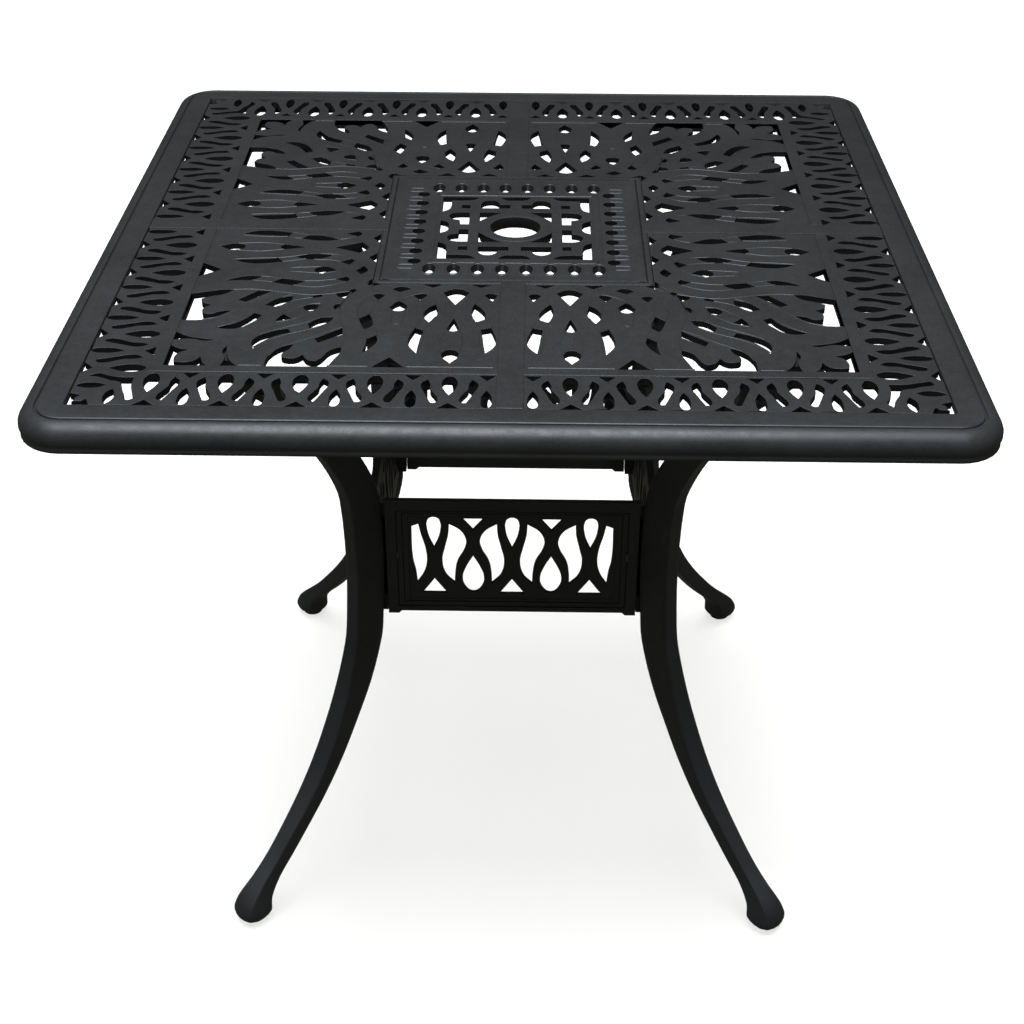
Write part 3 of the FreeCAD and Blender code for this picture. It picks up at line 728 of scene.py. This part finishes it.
class TABLE_OT_fans(bpy.types.Operator):
    """Draw the openwork that fans out to each corner and cast it"""
    bl_idname = "umbrella_table.fans"
    bl_label = "Fan panels"

    def execute(self, context):
        near = RIB_HALF - TUCK
        openings = FAN_OPENINGS + [swapped(o) for o in FAN_OPENINGS] + FAN_DIAGONAL
        outline = corner_plan(near, CENTRE_EDGE + 0.1, PANEL_HALF + TUCK)
        fan = flat_casting("fan", outline, openings, PANEL_BOTTOM, PANEL_TOP, steps=4)
        lines = FAN_LINES + [swapped(line) for line in FAN_LINES]
        raised = cast_lines("fan_lines", lines, PANEL_TOP)
        boss = flat_casting("fan_boss", boss_outline(), [], BOSS_LOW, BOSS_LOW + 8.2, edge=0.8)
        fan = join(fan, raised, boss)
        dress_all(fan, "fan_openwork", CORNERS, "fan_panel")
        return {"FINISHED"}


# Border: one pitch, (along, outward) from the middle of an inner triangle
BORDER_PITCH = 67.0
BORDER_START = 20.5
BORDER_CELLS = 5
BORDER_LEAF = mirrored([(0, 357.5, 1), (4, 367), (4.8, 376), (3.4, 386), (0, 389, 1)])
BORDER_TRIANGLE = mirrored([(8, 329.8, 1), (0, 339.5, 1)])
BORDER_SLOT = [(13.5, 338, 1), (8.5, 344), (8.2, 352), (11, 360), (15, 372), (18, 380, 1), (22, 379.5),
               (23.8, 373), (20, 363), (16.5, 355), (16, 346)]
BORDER_EYE = mirrored([(33.5, 331.5), (39, 337), (40.5, 346), (38, 357), (33.5, 366, 1)], 33.5)
BORDER_GABLE = [(23.5, 1), (33.5, -9.5), (43.5, 1)]
CORNER_BOOMERANG = [
    (338.8, 339.3, 1), (345, 339.8), (355, 339), (366, 335), (372.5, 332.5), (380.5, 338, 1),
    (373, 338.8), (366.2, 341.3), (358, 345.7), (350, 348.3), (347.2, 353), (345.5, 360),
    (341.5, 370), (337.8, 380.5), (332.3, 378, 1), (335.3, 366.5), (338.6, 354),
]
CORNER_LEAF = [(354, 361, 1), (358, 367), (359.3, 376), (357.8, 384), (355, 388, 1), (351, 382),
               (349.7, 374), (351, 367)]
# Notch along the outer corner, from one arm to the diagonal
CORNER_NOTCH = [(372.5, 381.5), (374, 379.8, 1), (376.5, 383), (383.5, 384), (385, 385, 1)]


def border_openings():
    """Openings of one arm of the border, up to its corner."""
    openings = [CORNER_LEAF]
    for cell in range(BORDER_CELLS):
        start = BORDER_START + BORDER_PITCH * cell
        openings += [moved(o, start) for o in (BORDER_TRIANGLE, BORDER_LEAF, BORDER_EYE, BORDER_SLOT)]
        if cell < BORDER_CELLS - 1:
            openings.append(moved(BORDER_SLOT, start + BORDER_PITCH, sx=-1))
    return openings


def border_outline():
    """Plan of the strip round a corner, with the notches along its outer edges."""
    near = RIB_HALF - TUCK
    inner = BORDER_IN - TUCK
    outer = SEAM - 1.1
    edge = [(near, outer, 1)]
    for cell in range(BORDER_CELLS):
        start = BORDER_START + BORDER_PITCH * cell
        edge += [(start + x, outer + min(y, 0), 1) for x, y in BORDER_GABLE]
    edge += [(369.3, outer, 1)] + CORNER_NOTCH
    return across_diagonal(edge) + sharp([(inner, near), (inner, inner), (near, inner)])


class TABLE_OT_borders(bpy.types.Operator):
    """Draw the border lattice round each corner and cast it"""
    bl_idname = "umbrella_table.borders"
    bl_label = "Border lattices"

    def execute(self, context):
        arm = border_openings()
        openings = arm + [swapped(o) for o in arm] + [CORNER_BOOMERANG]
        strip = flat_casting("border", border_outline(), openings, BORDER_BOTTOM, PANEL_TOP, steps=3)
        dress_all(strip, "border_openwork", CORNERS, "border_lattice")
        return {"FINISHED"}


# Centre panel
FRET_ARCH = [(6.5, 50, 1), (38, 50, 1), (38, 61), (35, 68.5), (28, 71.5), (21, 68.5), (17.5, 60, 1),
             (6.5, 60, 1)]
FRET_PARTS = [
    FRET_ARCH,
    moved(FRET_ARCH, sx=-1),
    mirrored([(0, 71.5), (11, 73), (17, 80.5, 1)]),
    across_diagonal([(71, 71, 1), (71.5, 52), (74, 45), (80.5, 40, 1), (80.5, 80.5, 1)]),
    rectangle(49.5, 50, 59, 59),
    across_diagonal([(27.7, 27.7), (33.8, 21), (38.8, 14.5, 1), (38.8, 38.8, 1)]),
]
FRET_SEAT = 87.6
RING_SEAT = 32
# Drain holes: places along a row, the rows' and columns' distance, and half sizes
HOLE_PLACES = [side * place for place in (12.35, 37.05, 61.75, 86.45) for side in (-1, 1)]
ROW_PLACE = 105.5
ROW_HOLE = (6.6, 11.4)
ROW_TAPER = [(-0.6, -0.8, 1), (0.15, -0.8, 1), (2.7, -6.3, 1), (-0.6, -6.3, 1)]
COLUMN_PLACE = ROW_PLACE * 0.972
COLUMN_SPREAD = 1.012
COLUMN_HOLE = (6.6, 6.2)
# Hairpin lines: their distance along a column, and half of one, (outward, along)
LOOP_PITCH = 25.0
LOOP_HALF = [(104, 4.6), (112, 4.6), (117, 4.2), (119.6, 2.2)]


def row_holes(grow=0.0):
    """Ovals of the front and back rows."""
    half_x, half_y = ROW_HOLE
    return [circle(place, row, half_x + grow, half_y + grow)
            for place in HOLE_PLACES
            for row in (-ROW_PLACE, ROW_PLACE)]


def column_holes():
    """Round holes of the side columns."""
    return [circle(column, place * COLUMN_SPREAD, *COLUMN_HOLE)
            for place in HOLE_PLACES
            for column in (-COLUMN_PLACE, COLUMN_PLACE)]


def hairpins():
    """Hairpin lines between the holes of the side columns and past their ends."""
    loops = []
    for index in range(len(HOLE_PLACES) + 1):
        y = (index - len(HOLE_PLACES) / 2) * LOOP_PITCH
        loop = [(x, y + up) for x, up in LOOP_HALF] + [(x, y - up) for x, up in reversed(LOOP_HALF)]
        loops += [loop, moved(loop, sx=-1)]
    return loops


def beads():
    """Bead, shoulder and groove round the square and the fret's band, with painted shade on a strip along
    the groove's floor and on the holes' tapered walls.
    """
    on_top = {
        "centre_bead": [(-5.6, -0.3), (-5.3, 0.1), (-4.0, 0.6), (-1.4, 0.65), (-0.9, 0.5), (-0.6, -0.3)],
        "centre_shoulder": [(0.6, -0.3), (0.9, 0.05), (2.9, 0.68), (4.0, 0.77), (6, 0.7), (13, -0.3)],
    }
    path = round_square(CENTRE_GROOVE, 0.5)
    pieces = [swept(name, path, sharp(section), PANEL_TOP) for name, section in on_top.items()]
    band = sharp([(-4.3, -0.3), (-3.6, 0.45), (-3.2, 0.55), (3.2, 0.55), (3.6, 0.45), (4.3, -0.3)])
    pieces.append(swept("centre_band", round_square(FRET_SEAT, 2.0), band, PANEL_TOP))
    # Strip on the groove's floor and collars in the row holes, painted all over with shade
    painted_shade_pieces = [swept("centre_groove", path, rectangle(-0.8, -0.3, 0.8, 0.06), PANEL_TOP)]
    painted_shade_pieces += [swept("centre_collar", hole, ROW_TAPER, PANEL_TOP) for hole in row_holes()]
    for item in painted_shade_pieces:
        mark_faces_for_painted_shade(item, limit=2)
    return pieces + painted_shade_pieces


def centre_square():
    """The square plate with its holes, its beads and its hairpin lines."""
    outline = rectangle(-CENTRE_EDGE, -CENTRE_EDGE, CENTRE_EDGE, CENTRE_EDGE)
    openings = [turned(part, quarter) for quarter in range(4) for part in FRET_PARTS]
    openings += row_holes() + column_holes() + [circle(0, 0, RING_SEAT)]
    plate = flat_casting("centre", outline, openings, PANEL_BOTTOM, PANEL_TOP)
    lines = hairpins() + [hole + hole[:1] for hole in row_holes(2.0)]
    return [plate] + beads() + [cast_lines("centre_lines", lines, PANEL_TOP, wider=1.7)]


def ring_casting():
    """Umbrella ring with a slightly crowned top."""
    top = PANEL_TOP
    section = [(26.7, RING_BOTTOM + 1), (27.4, RING_BOTTOM), (37.6, RING_BOTTOM), (38.4, RING_BOTTOM + 1)]
    section += [(38.4, top - 0.4), (37.8, top + 0.15), (36, top + 0.45), (33, top + 0.6), (30, top + 0.45)]
    section += [(27.8, top + 0.2), (27.0, top - 0.1), (26.7, top - 0.6)]
    ring = spun("umbrella_ring", section, 0, 0, steps=72)
    # The ring's upright walls get painted shade
    mark_faces_for_painted_shade(ring)
    return ring


class TABLE_OT_centre(bpy.types.Operator):
    """Cast the centre panel with its drain holes, fret and umbrella ring"""
    bl_idname = "umbrella_table.centre"
    bl_label = "Centre panel"

    def execute(self, context):
        piece = join(*centre_square(), ring_casting())
        piece.name = "centre_casting"
        dress(piece, "centre_panel")
        return {"FINISHED"}


# Legs: (height, reach along each side, width, depth) from flange to hoof
LEG_STATIONS = [
    (714.6, 270, 26, 44),
    (700, 259, 23, 39.5),
    (666.5, 237.3, 22, 38.5),
    (640, 219, 22, 38.5),
    (597, 198.6, 22, 38.5),
    (560, 182, 22, 38.5),
    (525.5, 170, 22, 38.5),
    (496, 163.6, 22, 38.5),
    (413, 161, 22, 38.5),
    (337, 164, 22, 38.2),
    (307, 167, 22.6, 38.3),
    (257, 179, 24, 35),
    (212, 194, 25, 29),
    (167, 211.5, 25, 25.5),
    (127, 231, 23, 25.5),
    (87, 254.5, 20.5, 26.5),
    (67, 267.5, 20.5, 26.5),
    (50, 280, 22, 27),
    (38, 288.5, 26, 28.5),
    (28, 294, 30, 30.5),
    (18, 296.5, 34, 34),
    (12, 297, 35, 35),
    (9.3, 297, 34, 34),
    (8.3, 297, 31.5, 31.5),
]
# Below this height the hoof turns round, by this share of the way at each ring
HOOF_HEIGHT = 30.0
HOOF_ROUND = 0.13


def between(stations, steps):
    """Stations with smooth in-between ones."""
    rows = []
    last = len(stations) - 1
    for index in range(last):
        a = stations[max(index - 1, 0)]
        b = stations[index]
        c = stations[index + 1]
        d = stations[min(index + 2, last)]
        for step in range(steps):
            t = step / steps
            row = [b[0] + t * (c[0] - b[0])]
            gap = c[0] - b[0]
            for k in range(1, 4):
                start = (c[k] - a[k]) / (c[0] - a[0]) * gap
                end = (d[k] - b[k]) / (d[0] - b[0]) * gap
                cube = (2 * b[k] - 2 * c[k] + start + end) * t ** 3
                square = (-3 * b[k] + 3 * c[k] - 2 * start - end) * t ** 2
                row.append(cube + square + start * t + b[k])
            rows.append(row)
    rows.append(list(stations[-1]))
    return rows


def leg_ring(width, depth):
    """Flat ring of a leg with small round corners and points along its sides."""
    bpy.ops.mesh.primitive_plane_add(size=1)
    ring = bpy.context.active_object
    ring.name = "leg"
    ring.scale = (depth * MM, width * MM, 1)
    apply_place(ring)
    bpy.ops.object.mode_set(mode="EDIT")
    bpy.ops.mesh.select_all(action="SELECT")
    bpy.ops.mesh.bevel(affect="VERTICES", offset=settings().sizes.leg_corner, segments=3)
    bpy.ops.mesh.select_all(action="DESELECT")
    bpy.ops.object.mode_set(mode="OBJECT")
    for edge in ring.data.edges:
        start, end = [ring.data.vertices[index].co for index in edge.vertices]
        edge.select = (end - start).length > width * MM / 2
    bpy.ops.object.mode_set(mode="EDIT")
    bpy.ops.mesh.select_mode(type="EDGE")
    bpy.ops.mesh.subdivide(number_cuts=3)
    bpy.ops.mesh.select_mode(type="FACE")
    bpy.ops.mesh.select_all(action="SELECT")
    return ring


def leg_body():
    """Leg drawn down from its flange, ring by ring, along the curve."""
    rows = between(LEG_STATIONS, 3)
    middles = [Vector((row[1] * math.sqrt(2) * MM, 0, row[0] * MM)) for row in rows]
    leg = leg_ring(*rows[0][2:])
    bpy.ops.transform.translate(value=middles[0])
    for index in range(1, len(rows)):
        step = middles[index] - middles[index - 1]
        bpy.ops.mesh.extrude_region_move(TRANSFORM_OT_translate={"value": step})
        height, _, width, depth = rows[index]
        grow = (depth / rows[index - 1][3], width / rows[index - 1][2], 1)
        bpy.ops.transform.resize(value=grow, center_override=middles[index])
        if height < HOOF_HEIGHT:
            bpy.ops.transform.tosphere(value=HOOF_ROUND)
    bpy.ops.object.mode_set(mode="OBJECT")
    leg.rotation_euler = (0, 0, math.pi / 4)
    apply_place(leg)
    clean(leg)
    smooth(leg, degrees=32)
    return leg


def cylinder(sides, radius, low, high):
    """Upright cylinder or prism about the origin, between two heights."""
    depth = (high - low) * MM
    place = (0, 0, (low + high) / 2 * MM)
    bpy.ops.mesh.primitive_cylinder_add(vertices=sides, radius=radius * MM, depth=depth, location=place)
    bpy.ops.object.transform_apply(location=True)
    return bpy.context.active_object


def bore(item, x, y, low, high, radius):
    """Cut a round hole up into a piece."""
    drill = cylinder(24, radius, low, high)
    drill.location = (x * MM, y * MM, 0)
    pick(item)
    cut = item.modifiers.new("bore", "BOOLEAN")
    cut.operation = "DIFFERENCE"
    cut.object = drill
    bpy.ops.object.modifier_apply(modifier=cut.name)
    bpy.data.objects.remove(drill)


def lug_outline():
    """Plan of the lug with an arm behind each of the two aprons."""
    back = APRON_BACK
    arm = back - LUG_ARM
    end = APRON_END - 24.0
    half = [(arm, end), (back, end), (back, LUG_START), (LEG_ROOT, LUG_START)]
    return sharp([(end, arm), (arm, arm)] + half + [(LEG_ROOT, LEG_ROOT)] + swapped(half[:0:-1]))


class TABLE_OT_legs(bpy.types.Operator):
    """Draw up the four curved legs with their flanges and apron lugs"""
    bl_idname = "umbrella_table.legs"
    bl_label = "Legs"

    def execute(self, context):
        leg = leg_body()
        bore(leg, GLIDE_PLACE, GLIDE_PLACE, 0, STUD_HIGH[2] / MM + 6, radius=4.35)
        smooth(leg, degrees=32)
        flange = flat_casting("leg_flange", boss_outline(), [], FLANGE_LOW, BOSS_LOW, edge=1.4)
        low, high = APRON_MIDDLE - LUG_HALF, APRON_MIDDLE + LUG_HALF
        lug = flat_casting("leg_lug", lug_outline(), [], low, high, edge=1.2)
        root = rectangle(LUG_START, LUG_START, LEG_ROOT, LEG_ROOT)
        web = flat_casting("leg_web", root, [], APRON_FOOT_LOW + 2, APRON_TOP - 3, edge=1.2)
        leg = join(leg, flange, lug, web)
        dress_all(leg, "leg_casting", CORNERS, "leg")
        return {"FINISHED"}


# Aprons: openings as (along, up) from the middle of the window's lower edge
APRON_PITCH = 85.0
DROP_DOWN = mirrored([(4.2, 101), (7.4, 94), (7.3, 86), (5.2, 75), (0, 62, 1)])
DROP_UP = mirrored([(42.5, 51.5, 1), (50, 37), (54, 24), (51.5, 9), (42.5, 2)], 42.5)
GABLE_DOWN = mirrored([(54.8, 100.5, 1), (42.5, 85.5, 1)], 42.5)
GABLE_UP = mirrored([(0, 20.5, 1), (14.2, 0.5, 1)])
S_OPENING = [(16.6, 93.5, 1), (29.7, 84), (35, 71), (33.3, 60), (25.2, 43), (22.6, 28), (22, 14.5, 1),
             (12.5, 25.5), (8.8, 45), (12.2, 63.5), (15.8, 80)]
END_OPENING = [(-16.5, 93, 1), (-14, 80), (-9.5, 62), (-8.2, 44), (-11.5, 28), (-19, 15, 1), (-20.5, 30),
               (-23.3, 45), (-24, 90, 1)]
WINDOW_SIZE = (218.5, 101.0)
# Steps of an apron's frame: inset of its sides, top and bottom, and how far it lies back
APRON_STEPS = [(11.5, 12, 5.8, 0.0), (18, 15.5, 12, 1.0), (24.5, 20, 15.5, 1.9)]
APRON_GROOVE = 0.9


def apron_openings(window, low, high):
    """Openings of an apron, drawn to fill its window."""
    outlines = []
    for step in (-1, 0, 1):
        outlines += [moved(o, step * APRON_PITCH) for o in (DROP_DOWN, GABLE_UP)]
    for step in (-1, 0):
        outlines += [moved(o, step * APRON_PITCH) for o in (DROP_UP, GABLE_DOWN, S_OPENING)]
        outlines.append(moved(S_OPENING, (step + 1) * APRON_PITCH, sx=-1))
    end = moved(END_OPENING, -APRON_PITCH)
    outlines += [end, moved(end, sx=-1)]
    sx = 2 * window / WINDOW_SIZE[0]
    sy = (high - low) / WINDOW_SIZE[1]
    return [moved(o, 0, low, sx, sy) for o in outlines]


def apron_outline():
    """Front view of an apron, with a foot at each end."""
    right = [(APRON_END, APRON_TOP), (APRON_END, APRON_FOOT_LOW), (APRON_END - 11.5, APRON_FOOT_LOW)]
    right.append((APRON_END - 15, APRON_PLATE_LOW))
    return sharp(right + [(-x, y) for x, y in reversed(right)])


def apron_inset(sides, top, bottom, more=0.0):
    """Rectangle inside an apron's edges."""
    half = APRON_END - sides - more
    return rectangle(-half, APRON_PLATE_LOW + bottom + more, half, APRON_TOP - top - more)


class TABLE_OT_aprons(bpy.types.Operator):
    """Cast the openwork aprons with their stepped frames"""
    bl_idname = "umbrella_table.aprons"
    bl_label = "Aprons"

    def execute(self, context):
        outline = apron_outline()
        openings = apron_openings(APRON_END - 28, APRON_PLATE_LOW + 22, APRON_TOP - 23)
        apron = flat_casting("apron", outline, openings, APRON_BACK, APRON_FRONT - 3.0, edge=0.5)
        for sides, top, bottom, drop in APRON_STEPS:
            inside = apron_inset(sides, top, bottom)
            low, high = APRON_FRONT - 3.8, APRON_FRONT - drop
            apron = join(apron, flat_casting("apron_step", outline, [inside], low, high, edge=0.3))
            outline = apron_inset(sides, top, bottom, APRON_GROOVE)
        apron.rotation_euler = (math.pi / 2, 0, 0)
        apply_place(apron)
        dress_all(apron, "apron_casting", FRONT_FIRST, "apron")
        return {"FINISHED"}


# Screws
HEAD_R = 7.45
HEAD_HEIGHT = 5.3
SHANK_R = 4
LEG_SCREW_PLACE = 22.5
APRON_SCREW_INSET = 12


def hex_screw(shank):
    """Hex screw along +Z with its head's bearing face at zero."""
    head = cylinder(6, HEAD_R, -HEAD_HEIGHT, 0)
    bpy.ops.object.mode_set(mode="EDIT")
    bpy.ops.mesh.select_all(action="SELECT")
    bpy.ops.mesh.bevel(offset=0.5 * MM, segments=2, affect="EDGES")
    bpy.ops.object.mode_set(mode="OBJECT")
    smooth(head, degrees=25)
    stem = cylinder(20, SHANK_R, 0, shank)
    smooth(stem, degrees=25)
    return join(head, stem)


def screw_set(name, screw, places):
    """Copies of a screw at (place, direction), joined into one piece."""
    copies = []
    for place, direction in places:
        pick(screw)
        bpy.ops.object.duplicate(linked=False)
        copy = bpy.context.active_object
        copy.rotation_mode = "QUATERNION"
        copy.rotation_quaternion = Vector(direction).to_track_quat("Z", "Y")
        copy.location = [value * MM for value in place]
        apply_place(copy)
        copies.append(copy)
    bpy.data.objects.remove(screw)
    piece = join(*copies)
    piece.name = name
    return piece


class TABLE_OT_screws(bpy.types.Operator):
    """Set the hex screws of the legs and aprons"""
    bl_idname = "umbrella_table.screws"
    bl_label = "Screws"

    def execute(self, context):
        leg_spots = at_leg_top([(0, -LEG_SCREW_PLACE), (0, LEG_SCREW_PLACE)])
        reach = APRON_END - APRON_SCREW_INSET
        apron_spots = [(-reach, APRON_BACK - LUG_ARM), (reach, APRON_BACK - LUG_ARM)]
        leg_places = []
        apron_places = []
        for quarter in range(4):
            leg_places += [((x, y, FLANGE_LOW), (0, 0, 1)) for x, y in turned(leg_spots, quarter)]
            out = (*turned([(0, 1)], quarter)[0], 0)
            apron_places += [((x, y, APRON_MIDDLE), out) for x, y in turned(apron_spots, quarter)]
        piece = screw_set("leg_screw_set", hex_screw(shank=17.8), leg_places)
        dress(piece, "leg_screws", "zinc_steel")
        piece = screw_set("apron_screw_set", hex_screw(shank=15.2), apron_places)
        dress(piece, "apron_screws", "zinc_steel")
        return {"FINISHED"}


# Levelling glides
THREAD_PITCH = 1.25


def pad_piece():
    """Round pad, hollow where the stud's flange turns."""
    section = [(0.01, 0.8), (6.5, 0.8), (7.5, 0), (11.2, 0), (12.8, 0.7), (13.7, 1.8), (14, 3), (14, 5.2)]
    section += [(13.6, 6.6), (12.6, 7.6), (11.2, PAD_TOP), (4.4, PAD_TOP), (4.4, 5.1), (7.9, 5.1)]
    section += [(7.9, 2.0), (0.01, 2.0)]
    return spun("glide_pad", section, GLIDE_PLACE, GLIDE_PLACE, steps=36)


def stud_piece():
    """Stud with its flange and a rolled thread."""
    low = STUD_LOW[2] / MM
    high = STUD_HIGH[2] / MM
    section = [(0.01, low), (6.6, low), (7, low + 0.4), (7, low + 2.1), (6.6, low + 2.5), (3.4, low + 2.7)]
    section += [(3.4, high - 0.5), (2.9, high), (0.01, high)]
    core = spun("glide_stud", section, 0, 0, steps=24)
    start = low + 4.0
    thread = section_ring("thread", [(3.3, start - 0.55), (3.97, start), (3.3, start + 0.55)])
    turn = thread.modifiers.new("thread", "SCREW")
    turn.screw_offset = THREAD_PITCH
    turn.iterations = 10
    turn.steps = 20
    turn.render_steps = 20
    bpy.ops.object.modifier_apply(modifier=turn.name)
    stud = join(core, settle(thread, degrees=40))
    stud.location = (GLIDE_PLACE * MM, GLIDE_PLACE * MM, 0)
    apply_place(stud)
    return stud


class TABLE_OT_glides(bpy.types.Operator):
    """Turn the levelling glides and their threaded studs"""
    bl_idname = "umbrella_table.glides"
    bl_label = "Levelling glides"

    def execute(self, context):
        dress_all(pad_piece(), "glide_foot", CORNERS, "glide_pad", "glide_plastic", "pad")
        dress_all(stud_piece(), "glide_screw", CORNERS, "glide_stud", "zinc_steel", "stud")
        return {"FINISHED"}


# Stage: the dome's radius as a share of the floor's side
DOME_SHARE = 0.45


def add_light(name, kind, power, place, aim=(0, 0, 0)):
    """Light at a place that looks at a point."""
    lamp = bpy.data.lights.new(name, kind)
    lamp.energy = power
    item = add_object(name, lamp)
    item.location = place
    item.rotation_euler = (Vector(aim) - Vector(place)).to_track_quat("-Z", "Y").to_euler()
    return item


def add_panel_light(name, power, place, aim, side, upright, colour=(1, 1, 1)):
    """Soft light from a rectangle of these two sides."""
    item = add_light(name, "AREA", power, place, aim)
    item.data.shape = "RECTANGLE"
    item.data.size = side
    item.data.size_y = upright
    item.data.color = colour
    return item


def light_only(item, targets, state="INCLUDE"):
    """Let a light reach these objects alone, or all but these."""
    group = bpy.data.collections.new(item.name + "_reach")
    for target in targets:
        group.objects.link(target)
    for member in group.collection_objects:
        member.light_linking.link_state = state
    item.light_linking.receiver_collection = group
    return group


def stage_piece(name, material, *unseen_by):
    """Name the object just added, give it its material and leave it out of some rays."""
    item = bpy.context.active_object
    item.name = name
    item.data.materials.append(material)
    for ray in unseen_by:
        setattr(item, "visible_" + ray, False)
    return item


def add_floor(side, tone):
    """Pale floor, a little clouded."""
    bpy.ops.mesh.primitive_plane_add(size=side)
    material, shader, place = new_finish("studio_floor_paint")
    cloud = noise(place, 3.0, 2.0)
    feed(shader, Base_Color=colour_between(cloud, tuple(0.985 * c for c in tone), tone))
    shader.inputs["Roughness"].default_value = 0.9
    shader.inputs["Specular IOR Level"].default_value = 0.1
    return stage_piece("studio_floor", material, "glossy", "diffuse")


def add_backdrop(radius):
    """White dome far behind, which only the camera sees."""
    bpy.ops.mesh.primitive_uv_sphere_add(segments=64, ring_count=32, radius=radius)
    material, shader, _ = new_finish("studio_backdrop_glow")
    shader.inputs["Base Color"].default_value = (0, 0, 0, 1)
    shader.inputs["Specular IOR Level"].default_value = 0.0
    shader.inputs["Emission Color"].default_value = (1, 1, 1, 1)
    shader.inputs["Emission Strength"].default_value = 1.0
    stage_piece("studio_backdrop", material, "glossy", "diffuse", "transmission", "shadow")


def add_lights(stage, floor):
    """Soft light over the table, panels beside the legs, and the floor's own two lights."""
    overhead = add_panel_light("overhead_light", stage.overhead_power, (-0.2, -0.8, 3.0), (0, 0, 0.6),
                               1.9, 1.9, (0.86, 0.92, 1.0))
    light_only(overhead, [floor], "EXCLUDE")
    even = add_light("floor_light", "SUN", stage.floor_light, (0, 0, 5.0))
    even.light_linking.blocker_collection = light_only(even, [floor])
    shade = add_panel_light("shadow_light", stage.shadow_power, (-0.1, 0, 5.0), (0, 0, 0), 3.8, 3.8)
    light_only(shade, [floor])
    legs = [item for item in bpy.data.objects if item.name.startswith("leg_casting")]
    for side in (-1, 1):
        power = stage.side_power * (1.0 - 0.15 * side)
        panel = add_panel_light("side_light", power, (side * 2.2, 0.1, 2.1), (0, 0, 0.1),
                                2.0, 1.2, (0.76, 0.87, 1.0))
        light_only(panel, legs)


def add_camera():
    """Camera at the photo's place."""
    lens = bpy.data.cameras.new("photo_camera")
    lens.lens = 58.38
    lens.sensor_width = 36.0
    camera = add_object("photo_camera", lens)
    camera.location = (0.0193, -1.6492, 1.46)
    camera.rotation_euler = (0.98724, -0.00346, 0.01539)
    bpy.context.scene.camera = camera


class TABLE_OT_stage(bpy.types.Operator):
    """Lay the pale floor and set the lights and the camera"""
    bl_idname = "umbrella_table.stage"
    bl_label = "Stage"

    def execute(self, context):
        stage = settings().stage
        floor = add_floor(stage.floor_side, tuple(stage.floor))
        add_backdrop(DOME_SHARE * stage.floor_side)
        add_lights(stage, floor)
        context.scene.view_settings.view_transform = "Standard"
        world = bpy.data.worlds.new("studio_air")
        context.scene.world = world
        world.use_nodes = True
        air = world.node_tree.nodes["Background"]
        air.inputs["Color"].default_value = (1, 0.98, 0.82, 1)
        air.inputs["Strength"].default_value = stage.surround
        add_camera()
        return {"FINISHED"}


class TABLE_PT_panel(bpy.types.Panel):
    """Sizes, colours and pieces of the umbrella table"""
    bl_label = "Umbrella table"
    bl_idname = "TABLE_PT_panel"
    bl_space_type = "VIEW_3D"
    bl_region_type = "UI"
    bl_category = "Umbrella table"

    def draw(self, context):
        table = settings()
        for group in (table.sizes, table.colours, table.stage):
            box = self.layout.box()
            for key in group.__annotations__:
                box.prop(group, key)
        for operator in OPERATORS:
            self.layout.operator(operator.bl_idname)


OPERATORS = [
    TABLE_OT_rim, TABLE_OT_ribs, TABLE_OT_dividers, TABLE_OT_fans, TABLE_OT_borders, TABLE_OT_centre,
    TABLE_OT_legs, TABLE_OT_aprons, TABLE_OT_screws, TABLE_OT_glides, TABLE_OT_stage,
]
CLASSES = [TableSizes, FinishColours, StageSettings, TableSettings] + OPERATORS + [TABLE_PT_panel]


def register():
    for item in CLASSES:
        bpy.utils.register_class(item)
    bpy.types.Scene.umbrella_table = bpy.props.PointerProperty(type=TableSettings)


def unregister():
    del bpy.types.Scene.umbrella_table
    for item in reversed(CLASSES):
        bpy.utils.unregister_class(item)


def main():
    """Register the classes and make every piece."""
    register()
    bpy.ops.umbrella_table.rim()
    bpy.ops.umbrella_table.ribs()
    bpy.ops.umbrella_table.dividers()
    bpy.ops.umbrella_table.fans()
    bpy.ops.umbrella_table.borders()
    bpy.ops.umbrella_table.centre()
    bpy.ops.umbrella_table.legs()
    bpy.ops.umbrella_table.aprons()
    bpy.ops.umbrella_table.screws()
    bpy.ops.umbrella_table.glides()
    bpy.ops.umbrella_table.stage()


if __name__ == "__main__":
    main()
